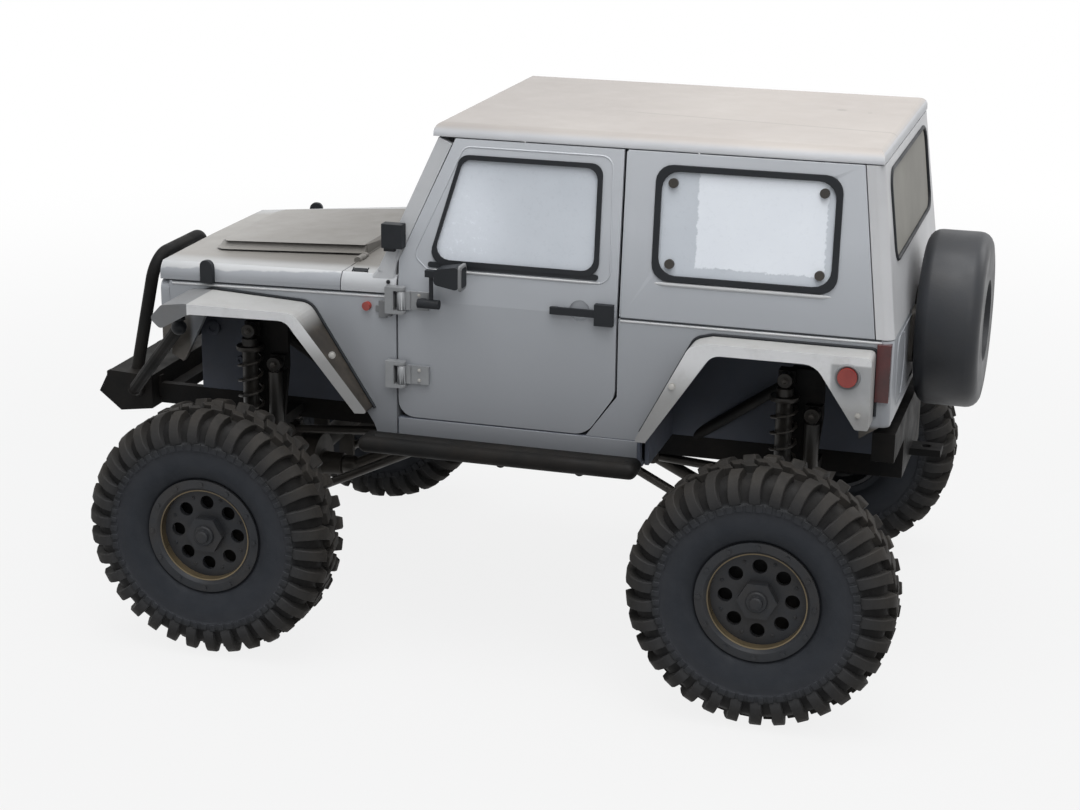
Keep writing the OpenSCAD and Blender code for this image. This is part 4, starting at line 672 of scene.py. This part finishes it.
FINISH_OF = {"roof": "roof_silver", "hood": "hood_silver", "cowl_frame": "cowl_silver",
             "tail_frame": "post_silver", "rear_window": "grey_pane",
             "front_flares": "front_flare", "rear_flares": "rear_flare"}
EDGE_OF = {"hood": 1.2, "roof": 1.6, "front_flares": 1.6, "rear_flares": 1.6, "tail_frame": 0.4}
EDGE, WELD = 0.35, 0.01
for name, o in nodes.items():
    mat = M[FINISH_OF.get(name, slot_of[name])]
    me = o.data
    if not len(me.materials):
        me.materials.append(mat)
    for i in range(len(me.materials)):
        me.materials[i] = mat
    o.modifiers.new("weld", "WELD").merge_threshold = WELD * MM
    soften(o, EDGE_OF.get(name, EDGE), 3 if name in EDGE_OF else 2, CAD_ANGLE)


# Tyres: carcass, side lugs that fold over the shoulder, tread blocks and a band of plain blocks

ORIGIN, OUTWARD = (0, 0, 0), (0, 1, 0)
LUGS, BAND_BLOCKS, CARCASS_SEGS = 34, 64, 96
# Radius and distance from the middle, up the side wall to the tread
WALL = [(28.5, 15.8), (32.4, 15.8), (33.6, 17.6), (36.5, 19.4), (41, 20.5), (46, 20.8), (49, 20.7),
        (49.6, 21.2), (53.0, 21.0), (53.6, 19.9), (57, 18.9), (61, 16.9), (64, 13.6), (65.0, 10.0)]
TREAD_R = 65.2
# Radius, distance from the middle and half width along a lug, and its turn round the tyre
LUG_PATH = [(52.6, 20.6, 2.9), (55, 21.8, 2.85), (58.5, 21.7, 2.75), (62, 20.6, 2.7), (65.5, 18.5, 2.75),
            (68.2, 15.2, 3.0), (69.45, 11.2, 3.3), (69.5, 7.2, 3.4)]
LUG_SKEW = [0.0, 0.0, 0.0, 0.004, 0.01, 0.02, 0.035, 0.055]
# Share of the pitch at which the lugs of each side start, as on the solid
LUG_START = {1: 0.25, -1: 0.75}
# Foot of a lug under its path, by a share of the radius on the tread and a drop on the wall
FOOT_SHARE, FOOT_DROP, FOOT_INWARD, FOOT_WIDER = 0.92, 0.8, 4.2, 1.12
WALL_TO_R, FOOT_LEAST = 60, 1.0
# Tread blocks: span from the middle, turn of the two ends, (radius, half width) of foot and top
BLOCK_LONG, BLOCK_SHORT, BLOCK_TURN = (-1.2, 6.2), (0.5, 5.6), (-0.02, 0.03)
BLOCK_LEVELS = ((64.6, 3.5), (69.0, 3.2))
# Band: least value and random addition for half width, inner and outer radius
BAND_SPANS = ((1.5, 0.7), (49.2, 0.8), (53.0, 0.8))
BAND_LEVELS = ((20.2, 1.1), (21.7, 0.9))


def ring_point(r, a, y):
    return (r * math.cos(a), y, r * math.sin(a))


def lug(i, side, phase):
    """Side lug; every other one stops one step earlier."""
    rings = []
    for (r, y, half), skew in zip(LUG_PATH[:len(LUG_PATH) - i % 2], LUG_SKEW):
        foot_r = r * FOOT_SHARE if r > WALL_TO_R else r - FOOT_DROP
        foot = (foot_r, max(y - FOOT_INWARD, FOOT_LEAST), half * FOOT_WIDER)
        top = (r, y, half)
        corners = ((foot, -1), (top, -1), (top, 1), (foot, 1))
        rings.append([ring_point(rr, phase + sgn * hh / rr + skew * side, side * yy)
                      for (rr, yy, hh), sgn in corners])
    return rings


def tread_block(i, side, phase):
    """Block beside a lug, long and short by turns."""
    middle = phase + math.pi / LUGS
    inner, outer = zip(BLOCK_SHORT if i % 2 else BLOCK_LONG, BLOCK_TURN)
    corners = ((inner, -1), (outer, -1), (outer, 1), (inner, 1))
    return [[ring_point(r, middle + sgn * w / r + turn * side, side * y) for (y, turn), sgn in corners]
            for r, w in BLOCK_LEVELS]


def band_block(i, side, rnd):
    middle = 2 * math.pi * i / BAND_BLOCKS
    w, low, high = [least + more * rnd.random() for least, more in BAND_SPANS]
    corners = ((low, -1), (high, -1), (high, 1), (low, 1))
    return [[ring_point(r, middle + sgn * w * wider / r, side * y) for r, sgn in corners]
            for y, wider in BAND_LEVELS]


def tyre_shape():
    """One tyre about the origin, outer side towards +y."""
    s = Shape()
    profile = [(y, r) for r, y in WALL] + [(0, TREAD_R)] + [(-y, r) for r, y in reversed(WALL)]
    s.lathe(profile, ORIGIN, OUTWARD, CARCASS_SEGS, True)
    s.kind = 1
    for side in (1, -1):
        for i in range(LUGS):
            phase = 2 * math.pi * (i + LUG_START[side]) / LUGS
            s.rings(lug(i, side, phase))
            s.rings(tread_block(i, side, phase))
    s.kind = 0
    rnd = random.Random(7)
    for side in (1, -1):
        for i in range(BAND_BLOCKS):
            s.rings(band_block(i, side, rnd))
    return s


# Wheel dress: dark dish behind the holes, gold inner lip as a painted glint, nut with a cap and disc bolts

DISC_Y, DISC_R, RING_Y = 11.5, 25.5, 15.84
DISC_BOLTS, BOLT_RING, BOLT_D, BOLT_H = 8, 20.6, 1.5, 0.7
DISH_SEGS, LIP_SEGS, NUT_SEGS, WHEEL_SMOOTH = 48, 64, 24, 45
# Profiles (distance outwards, radius); dish and nut are measured from the disc
DISH = [(-7.0, 7.3), (-6.4, 12), (-7.5, 23.2), (-9.0, 23.2), (-8.6, 7.3)]
NUT = [(3, 5.6), (6.0, 5.6), (6.6, 5.0), (6.6, 3.6), (8.2, 3.4), (8.8, 2.6)]
LIP = [(DISC_Y + 0.2, DISC_R - 0.5), (RING_Y + 0.4, DISC_R - 0.25),
       (RING_Y + 0.5, DISC_R + 0.4), (DISC_Y + 0.1, DISC_R + 0.4)]

tyre, dish, lip, nut = tyre_shape(), Shape(), Shape(), Shape()
dish.lathe([(DISC_Y + y, r) for y, r in DISH], ORIGIN, OUTWARD, DISH_SEGS, True)
# inner lip in gold: painted glint on the ring
lip.lathe(LIP, ORIGIN, OUTWARD, LIP_SEGS, True)
nut.lathe([(DISC_Y + y, r) for y, r in NUT], ORIGIN, OUTWARD, NUT_SEGS)
for i in range(DISC_BOLTS):
    turn = math.pi * (2 * i + 1) / DISC_BOLTS
    nut.bolt(ring_point(BOLT_RING, turn, DISC_Y), OUTWARD, BOLT_D, BOLT_H)

WHEELS = (("front_left", FRONT_X, 1), ("front_right", FRONT_X, -1),
          ("rear_left", REAR_X, 1), ("rear_right", REAR_X, -1))
# Name, form, finishes, softened edge and record slot
WHEEL_PIECES = (("tyre_{}_lugged", tyre, ["tyre_rubber", "lug_rubber"], 0.45, None),
                ("wheel_dish_{}", dish, "chassis_steel", 0.0, None),
                ("wheel_lip_{}", lip, "gold_lip", 0.0, "wheel_grey"),
                ("wheel_nut_{}", nut, "wheel_grey", 0.2, None))
for tag, x, side in WHEELS:
    for piece, form, finishes, bevel, slot in WHEEL_PIECES:
        s = form if side > 0 else form.mirrored()
        o = s.make(piece.format(tag), finishes, "wheel_" + tag, bevel, WHEEL_SMOOTH, slot)
        # Mesh about the hub, so that the rubber's dust follows the radius
        o.matrix_world = Matrix.Translation(Vector((x, side * WHEEL_Y, TYRE_R)) * MM)
        if form is tyre:
            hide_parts("tyre_" + tag)


# Body seams: dark strips in the gaps, painted shade, and a paler rolled edge below, painted highlight

SEAM_R, SEAM_OUT, ROLL_R, ROLL_OUT = 0.42, 0.02, 0.75, -0.25
BELT_ENDS = (DOOR_R - 1.6, TAIL + 6)
CLIP_ENDS = (DOOR_F + 1.2, NOSE - 8)
BELT_SHADE, BELT_ROLL, CLIP_SHADE, CLIP_ROLL = -0.3, -1.7, 0.1, -1.5
# Dark strip between the flares and the body, painted shadow: corners (x, z, radius)
FLARE_REAR = [(-87.4, 136, 0), (-115.4, 190.0, 7), (-124.7, 192.3, 5), (-209.2, 192.3, 3), (-209.2, 157, 0)]
FLARE_FRONT = [(61.4, 134, 0), (100.2, 188.9, 10), (163.0, 188.9, 6), (186.0, 180.5, 0)]
FLARE_R, FLARE_OUT = 0.85, 0.5
# Ledge under the quarter window, in the paler finish of a painted highlight: (x, radius) along it
LEDGE = ((-92, 0.5), (-97, 1.35), (-179, 1.35), (-184, 0.5))
LEDGE_Z, LEDGE_OUT = 216.4, -0.5

seam_shades, edges = Shape(), Shape()
seam_shades.tube([(x, HALF + SEAM_OUT, BELT + BELT_SHADE) for x in BELT_ENDS], SEAM_R)
edges.tube([(x, HALF + ROLL_OUT, BELT + BELT_ROLL) for x in BELT_ENDS], ROLL_R)
seam_shades.tube([clip_pt(x, seam_z(x) + CLIP_SHADE, SEAM_OUT) for x in CLIP_ENDS], SEAM_R)
edges.tube([clip_pt(x, seam_z(x) + CLIP_ROLL, ROLL_OUT) for x in CLIP_ENDS], ROLL_R)
seam_shades.tube([(x, HALF + FLARE_OUT, z) for x, z in fillet(FLARE_REAR)], FLARE_R)
seam_shades.tube([clip_pt(x, z, FLARE_OUT) for x, z in fillet(FLARE_FRONT)], FLARE_R)
seam_shades.both().make("body_seam_shades", "black_plastic", "chassis", smooth=60)
# ledge in the paler finish: painted highlight
edges.tube([side_pt(x, LEDGE_Z, LEDGE_OUT) for x, r in LEDGE], [r for x, r in LEDGE])
edges.both().make("body_edge_highlights", "bright_edge", "chassis", smooth=60, slot="silver_body")


# Silver skins over the sills, and strips that close the gap behind the doors

SILL = box_outline(-86.0, 116.6, 47.0, 130.6, 1.0)
GAP_R, GAP_F, GAP_LOW, GAP_TOP = DOOR_R - 1.5, DOOR_R - 0.75, BELT + 0.5, 282.5
SILL_SKIN, STRIP_SKIN = (-0.2, 0.35), (-2.2, -0.15)
STRIP = [(GAP_R, GAP_LOW), (GAP_F, GAP_LOW), (GAP_F, GAP_TOP), (GAP_R, GAP_TOP)]
s = Shape()
s.slab(side_pt, SILL, SILL_SKIN)
s.slab(side_pt, STRIP, STRIP_SKIN)
s.both().make("sill_skins", "silver_body", "chassis", 0.15, 40)


# Flare bolts: place, direction, diameter and height

FLARE_BOLTS = (((80.4, 110.3, 165.9), (-0.228, 0.974, 0.0), 3.0, 1.3),
               ((-107.6, 115.0, 167.8), OUTWARD, 3.0, 1.3),
               ((-203.0, 115.0, 161.5), OUTWARD, 2.4, 1.0))
s = Shape()
for values in FLARE_BOLTS:
    s.bolt(*values)
s.both().make("flare_bolts", "pale_screw", "chassis", smooth=50, slot="link_steel")


# Rims of the markers on the rear flares, and brackets of the side markers (x0, z0, x1, z1, height)

MARKER = (-197.0, 115.0, 181.3)
MARKER_RIM = [(-0.3, 6.6), (0.9, 6.4), (1.2, 5.9), (0.9, 5.2), (-0.3, 5.2)]
BRACKETS = ((53.2, 185.6, 58.2, 195.0, 1.3), (50.2, 187.0, 53.6, 189.0, 2.2),
            (50.2, 191.4, 53.6, 193.4, 2.2), (58.0, 188.4, 60.2, 192.0, 1.0))
BRACKET_R, BRACKET_FOOT = 0.6, -0.3
s = Shape()
s.lathe(MARKER_RIM, MARKER, OUTWARD, 32, True)
for *corners, height in BRACKETS:
    s.slab(clip_pt, box_outline(*corners, BRACKET_R), (BRACKET_FOOT, height))
s.both().make("marker_brackets", "grey_trim", "chassis", 0.2, 45, "link_steel")


# Screw and vent of the cowl

COWL_SCREW, COWL_SCREW_D, COWL_SCREW_H = clip_pt(52.9, 205.4), 1.7, 0.6
CLIP_OUT = (math.sin(TAPER), math.cos(TAPER), 0)
VENT = Vector((72.0, 88.1, 208.6))
VENT_ALONG = Vector((math.cos(TAPER), -math.sin(TAPER), -0.0629))
VENT_UP = Vector((0.06, -0.92, 0.36))
VENT_PLATE, VENT_DEPTH = box_outline(-4.2, -1.5, 4.2, 1.5, 0.8), 0.6
VENT_ENDS, VENT_REACH, VENT_BAR_R = (-4.6, 4.6), (-1.7, 1.7), 0.35
s = Shape()
s.bolt(COWL_SCREW, CLIP_OUT, COWL_SCREW_D, COWL_SCREW_H)
s.plate(VENT_PLATE, VENT, VENT_ALONG, VENT_UP, VENT_DEPTH)
for end in VENT_ENDS:
    foot = VENT + VENT_ALONG.normalized() * end
    s.tube([foot + VENT_UP.normalized() * q for q in VENT_REACH], VENT_BAR_R)
s.both().make("cowl_fittings", "black_plastic", "chassis", smooth=45)


# Feet of the screen pillars, faired into the cowl

PILLAR_FOOT = [(49.5, 203.4), (66.0, 203.4), (63.0, 208.0), (58.8, 213.5), (55.6, 220.5),
               (53.4, 227.5), (45.9, 227.5), (48.0, 221.0), (49.3, 212.0)]
PILLAR_OUT, BEND_X, BEND, PILLAR_DEPTH = -0.9, 50, 0.16, 9.0


def pillar_pt(x, z, inward):
    """Point on a foot, which turns in with the cowl beyond BEND_X."""
    return side_pt(x, z, PILLAR_OUT) - Vector((0, inward + max(x - BEND_X, 0) * BEND, 0))


s = Shape()
s.slab(pillar_pt, PILLAR_FOOT, (PILLAR_DEPTH, 0.0))
s.both().make("pillar_feet", "cowl_silver", "chassis", 1.4, 40, "silver_body")


# Rear: window rubber and handle, pressed panel, spare bracket

TAIL_WINDOW = [(-72.4, 231.4, 9), (72.4, 231.4, 9), (72.4, 277.6, 9), (-72.4, 277.6, 9)]
WINDOW_R, WINDOW_OUT = 1.1, 0.1
HANDLE_Y, HANDLE_Z = -66.0, 186.0
HANDLE_PLATE, HANDLE_SKIN = box_outline(-9, -4, 9, 4, 1.5), (-0.3, 1.6)
# Grip of the handle: (sideways, backwards)
GRIP, GRIP_R = ((-7, 1.2), (-6, 3.0), (6, 3.0), (7, 1.2)), 1.3
PANEL = [(-78, 156, 8), (78, 156, 8), (80, 193, 8), (-80, 193, 8)]
# Pressed curve on each half: (sideways from its middle, height)
CURVE = ((14, 158), (8, 164), (4, 174), (6, 186), (12, 191))
CURVE_YS, PRESS_R, PRESS_OUT = (-44, 44), 0.6, -0.2
SPARE_Z, SPARE_FOOT, SPARE_FACE = 186.0, -0.4, 2.4
SPARE_PLATE = [(-34, -19, 6), (34, -19, 6), (26, 9.5, 5), (-26, 9.5, 5)]
SPARE_BOLTS = ((-27, -13), (27, -13), (-22, 5), (22, 5))
SPARE_BOLT_D, SPARE_BOLT_H, BACKWARD = 3.2, 1.4, (-1, 0, 0)


def handle_pt(y, z, o):
    return tail_pt(HANDLE_Y + y, HANDLE_Z + z, o)


def spare_pt(y, z, o):
    return tail_pt(y, SPARE_Z + z, o)


s = Shape()
s.tube([tail_pt(y, z, WINDOW_OUT) for y, z in fillet(TAIL_WINDOW, True)], WINDOW_R, loop=True)
s.slab(handle_pt, HANDLE_PLATE, HANDLE_SKIN)
s.tube([handle_pt(y, 0.0, o) for y, o in GRIP], GRIP_R)
s.make("tail_rubber", "black_plastic", "chassis", 0.2, 50)
s = Shape()
s.tube([tail_pt(y, z, PRESS_OUT) for y, z in fillet(PANEL, True)], PRESS_R, loop=True)
for y in CURVE_YS:
    s.tube([tail_pt(y + dy, z, PRESS_OUT) for dy, z in CURVE], PRESS_R)
s.make("tail_pressing", "silver_body", "chassis", smooth=60)
s = Shape()
s.slab(spare_pt, fillet(SPARE_PLATE, True), (SPARE_FOOT, SPARE_FACE))
for y, z in SPARE_BOLTS:
    s.bolt(spare_pt(y, z, SPARE_FACE), BACKWARD, SPARE_BOLT_D, SPARE_BOLT_H)
s.make("spare_bracket", "link_steel", "chassis", 0.25, 45)


# Front: lamp bezels and reflector ribs

LAMP_Y, LAMP_Z, FORWARD, UPRIGHT = 50.0, 173.0, (1, 0, 0), (0, 0, 1)
BEZEL_SEGS, RIB_SEGS = 40, 6
BEZEL = [(-0.8, 13.2), (0.5, 13.4), (0.9, 14.3), (0.5, 15.4), (-0.8, 15.6)]
RIBS_A_SIDE, RIB_PITCH, RIB_R, RIB_SPAN, RIB_REACH = 4, 2.6, 0.3, 12.6, 0.9
RIB_FOOT, RIB_RISE = -0.4, 1.2
s = Shape()
s.lathe(BEZEL, (NOSE, LAMP_Y, LAMP_Z), FORWARD, BEZEL_SEGS, True)
s.both().make("lamp_bezels", "black_plastic", "chassis", smooth=60)
s = Shape()
for k in range(-RIBS_A_SIDE, RIBS_A_SIDE + 1):
    y = RIB_PITCH * k
    half = math.sqrt(max(RIB_SPAN ** 2 - y ** 2, 0.0)) * RIB_REACH
    s.tube([(NOSE + RIB_FOOT + RIB_RISE * math.cos(q * math.pi / 2), LAMP_Y + y, LAMP_Z + q * half)
            for q in (-1, -0.5, 0, 0.5, 1)], RIB_R, RIB_SEGS)
s.both().make("lamp_ribs", "clear_lens", "chassis", smooth=60)


# Ball mounts between the bumper's wings and the chins of the front flares

WING_END, BALL_SEGS = (179.0, 91.6, 167.95), 28
BALL = [(-4.3, 1.2), (-3.6, 2.6), (-2.0, 3.9), (0.0, 4.4), (2.0, 3.9), (3.4, 2.6), (4.2, 2.2),
        (4.4, 3.8), (5.5, 3.8)]
s = Shape()
s.lathe(BALL, WING_END, UPRIGHT, BALL_SEGS)
s.both().make("wing_mounts", "black_plastic", "chassis", smooth=45)


# Screws in the upper damper eyes, and bosses on the front wells (x, z, radius)

EYE_Y, DAMPER, SIDE_DAMPER = 78.2, (3.0, 165.0), (-12.0, 147.0)
EYE_SCREW_D, EYE_SCREW_H, BOSS_SEGS = 2.8, 1.3, 24
WELL_Y, BOSSES = 36.5, ((183.7, 153.3, 4.5), (166.9, 135.2, 2.5))
s = Shape()
for x in (FRONT_X, REAR_X):
    for dx, z in (DAMPER, SIDE_DAMPER):
        s.bolt((x + dx, EYE_Y, z), OUTWARD, EYE_SCREW_D, EYE_SCREW_H)
s.both().make("damper_screws", "link_steel", "chassis", smooth=50)
s = Shape()
for x, z, r in BOSSES:
    boss = [(-0.4, r), (1.3, r), (1.8, r * 0.85), (1.8, r * 0.5), (1.0, r * 0.45)]
    s.lathe(boss, (x, WELL_Y, z), OUTWARD, BOSS_SEGS)
s.both().make("well_bosses", "dark_tray", "chassis", smooth=50)


# Soft sides of the hood's raised panel: corners (x, y, radius), and growth and height of each level

DOME = [(35.0, -47.8, 0.0), (35.0, 47.8, 0.0), (126.0, 41.2, 5.0), (126.0, -41.2, 5.0)]
DOME_LEVELS = [(4.6, -0.2), (3.4, 0.35), (2.3, 1.3), (1.3, 2.7), (0.3, 3.75), (-1.2, 4.15), (-3.0, 4.22)]
DOME_REAR = 40


def dome_corner(x, y, r, grow):
    """Corner moved out by grow, except backwards from the panel's rear."""
    return (x if x < DOME_REAR else x + grow, y + math.copysign(grow, y), r and r + grow + 1)


s = Shape()
rings = []
for grow, h in DOME_LEVELS:
    outline = fillet([dome_corner(x, y, r, grow) for x, y, r in DOME], True)
    rings.append([hood_pt(x, y, h) for x, y in outline])
s.rings(rings)
s.make("hood_panel_skin", "hood_panel", "hood", smooth=50, slot="silver_body")


# Doors: mirror, hinge screws, pressed line round the window, and a ledge with a painted highlight and rubber
# under it

PRESS = [(12.8, 279.4, 5), (39.2, 221.0, 6), (31.0, 213.6, 4), (-69.0, 213.6, 7), (-67.4, 279.4, 6)]
DOOR_LEDGE = ((30, 0.4), (26, 0.8), (-58, 0.8), (-64, 0.4))
DOOR_LEDGE_Z, DOOR_LEDGE_OUT, LINE_R, LINE_OUT = 213.9, -0.1, 0.55, -0.22
SILL_RUBBER, RUBBER_SKIN = box_outline(-62.4, 215.2, 30.6, 218.2, 1.2), (-0.3, 0.75)
HINGE_SCREWS = ((34.5, 153.2), (34.5, 158.8), (34.5, 194.4), (34.5, 200.0))
HINGE_FACE, HINGE_SCREW_D, HINGE_SCREW_H = 2.2, 1.5, 0.6
# Mirror: y and z of the corners, corner radius, and (x, growth) of the rim's levels
RIM, RIM_R, RIM_LEVELS = (101.8, 207.2, 112.2, 220.5), 2.0, ((8.7, 0.2), (7.6, 0.2), (7.2, -0.4))
GLASS, GLASS_XS = box_outline(103.2, 208.6, 110.8, 219.1, 1.4), (7.6, 7.0)

rim, glass, screws, line, ledge, sill_rubber = (Shape() for k in range(6))
y0, z0, y1, z1 = RIM
rim.rings([[(x, y, z) for y, z in box_outline(y0 - g, z0 - g, y1 + g, z1 + g, RIM_R)] for x, g in RIM_LEVELS])
glass.rings([[(x, y, z) for y, z in GLASS] for x in GLASS_XS])
for x, z in HINGE_SCREWS:
    screws.bolt(side_pt(x, z, HINGE_FACE), OUTWARD, HINGE_SCREW_D, HINGE_SCREW_H)
line.tube([side_pt(x, z, LINE_OUT) for x, z in fillet(PRESS, True)], LINE_R, loop=True)
ledge.tube([side_pt(x, DOOR_LEDGE_Z, DOOR_LEDGE_OUT) for x, r in DOOR_LEDGE], [r for x, r in DOOR_LEDGE])
sill_rubber.slab(side_pt, SILL_RUBBER, RUBBER_SKIN)
# Form, name, finish and record slot
DOOR_PIECES = ((rim, "mirror_rim_", "grey_trim", "black_plastic"),
               (glass, "mirror_glass_", "black_plastic", None),
               (screws, "door_screws_", "pale_screw", "link_steel"),
               (line, "door_press_line_", "silver_body", None),
               (ledge, "door_ledge_", "bright_edge", "silver_body"),
               (sill_rubber, "door_sill_rubber_", "black_plastic", None))
for tag, sign in (("left", 1), ("right", -1)):
    for form, piece, finish, slot in DOOR_PIECES:
        s = form if sign > 0 else form.mirrored()
        s.make(piece + tag, finish, "door_" + tag, smooth=60, slot=slot)


# Camera at the photograph's view: focal length in pixels, place in millimetres, roll in radians

PHOTO_W, FOCAL, SENSOR_W, CLIP_START = 1080.0, 2175.15, 36.0, 0.01
CAM = Vector((-339.74, 1156.19, 489.21))
YAW, PITCH, ROLL = math.radians(-73.81), math.radians(-17.33), 0.0119
cam_data = bpy.data.cameras.new("camera")
cam = bpy.data.objects.new("camera", cam_data)
scene.collection.objects.link(cam)
cam_data.sensor_width = SENSOR_W
cam_data.lens = FOCAL / PHOTO_W * SENSOR_W
cam_data.clip_start = CLIP_START
fwd = Vector((math.cos(PITCH) * math.cos(YAW), math.cos(PITCH) * math.sin(YAW), math.sin(PITCH)))
right = fwd.cross(Vector((0, 0, 1))).normalized()
up = right.cross(fwd)
across = right * math.cos(ROLL) + up * math.sin(ROLL)
upward = up * math.cos(ROLL) - right * math.sin(ROLL)
cam.matrix_world = Matrix.Translation(CAM * MM) @ Matrix((across, upward, -fwd)).transposed().to_4x4()
scene.camera = cam


# Soft studio light, strongest from above: place, target and size in metres, power in watts

LIGHTS = (("key", (-0.1, 0.35, 2.2), (0, 0, 0.15), 1.8, 40),
          ("fill", (-1.0, 1.7, 1.9), (0, 0, 0.25), 1.5, 17),
          ("back", (-1.4, -1.2, 1.4), (0, 0, 0.2), 1.2, 9))
for name, place, target, size, power in LIGHTS:
    d = bpy.data.lights.new(name, "AREA")
    d.shape = "DISK"
    d.size = size
    d.energy = power
    o = bpy.data.objects.new(name, d)
    scene.collection.objects.link(o)
    o.location = place
    o.rotation_euler = (Vector(target) - Vector(place)).to_track_quat("-Z", "Y").to_euler()


def seen_rays(g):
    """1 for rays from the camera, mirrors and glass, which see the white background."""
    rays = g.node("LightPath").outputs
    return g.most(g.most(rays["Is Camera Ray"], rays["Is Transmission Ray"]), rays["Is Glossy Ray"])


def mix_shaders(g, share, a, b):
    m = g.node("MixShader")
    for sock, val in zip(m.inputs, (share, a.outputs[0], b.outputs[0])):
        g.feed(sock, val)
    return m.outputs[0]


# World: grey sky for the light, white where it is seen

SKY_EDGE, SKY_LOW, SKY_HIGH = (-0.2, 1.0), (0.13, 0.135, 0.145), (0.6, 0.62, 0.645)
WHITE = (1.0, 1.0, 1.0)
scene.world = bpy.data.worlds.new("studio")
scene.world.use_nodes = True
g = Graph(scene.world.node_tree)
sky, white = g.node("Background"), g.node("Background")
height = g.above(g.axis(Z, "Generated"), SKY_EDGE)
g.feed(sky.inputs[0], g.ramp(height, [(0.0, SKY_LOW), (1.0, SKY_HIGH)]))
g.feed(white.inputs[0], WHITE)
g.feed(g.node("OutputWorld").inputs[0], mix_shaders(g, seen_rays(g), sky, white))


# Pale floor, white to the camera but for the object's shadow, which fades out with distance

FLOOR, FLOOR_Z, WHITE_SHARE, FADE = 20000.0, -0.4, 0.85, (350.0, 1300.0)
FLOOR_GREY, FLOOR_ROUGH = (0.3, 0.3, 0.3), 0.9
CORNERS = ((-1, -1), (1, -1), (1, 1), (-1, 1))
floor_mesh = bpy.data.meshes.new("floor")
floor_verts = [(x * FLOOR * MM, y * FLOOR * MM, FLOOR_Z * MM) for x, y in CORNERS]
floor_mesh.from_pydata(floor_verts, [], [(0, 1, 2, 3)])
floor = bpy.data.objects.new("floor", floor_mesh)
scene.collection.objects.link(floor)
p = Paint("floor_pale")
p.set(Base_Color=FLOOR_GREY, Roughness=FLOOR_ROUGH)
glow = p.node("Emission")
p.feed(glow.inputs[0], WHITE)
p.feed(glow.inputs[1], 1.0)
faded = p.above(p.length(p.place(X), p.place(Y)), FADE)
share = p.calc("MULTIPLY_ADD", faded, 1.0 - WHITE_SHARE, WHITE_SHARE)
p.feed(p.out.inputs[0], mix_shaders(p, p.all_of(seen_rays(p), share), p.bsdf, glow))
floor_mesh.materials.append(M["floor_pale"])

scene.view_settings.view_transform = "Standard"
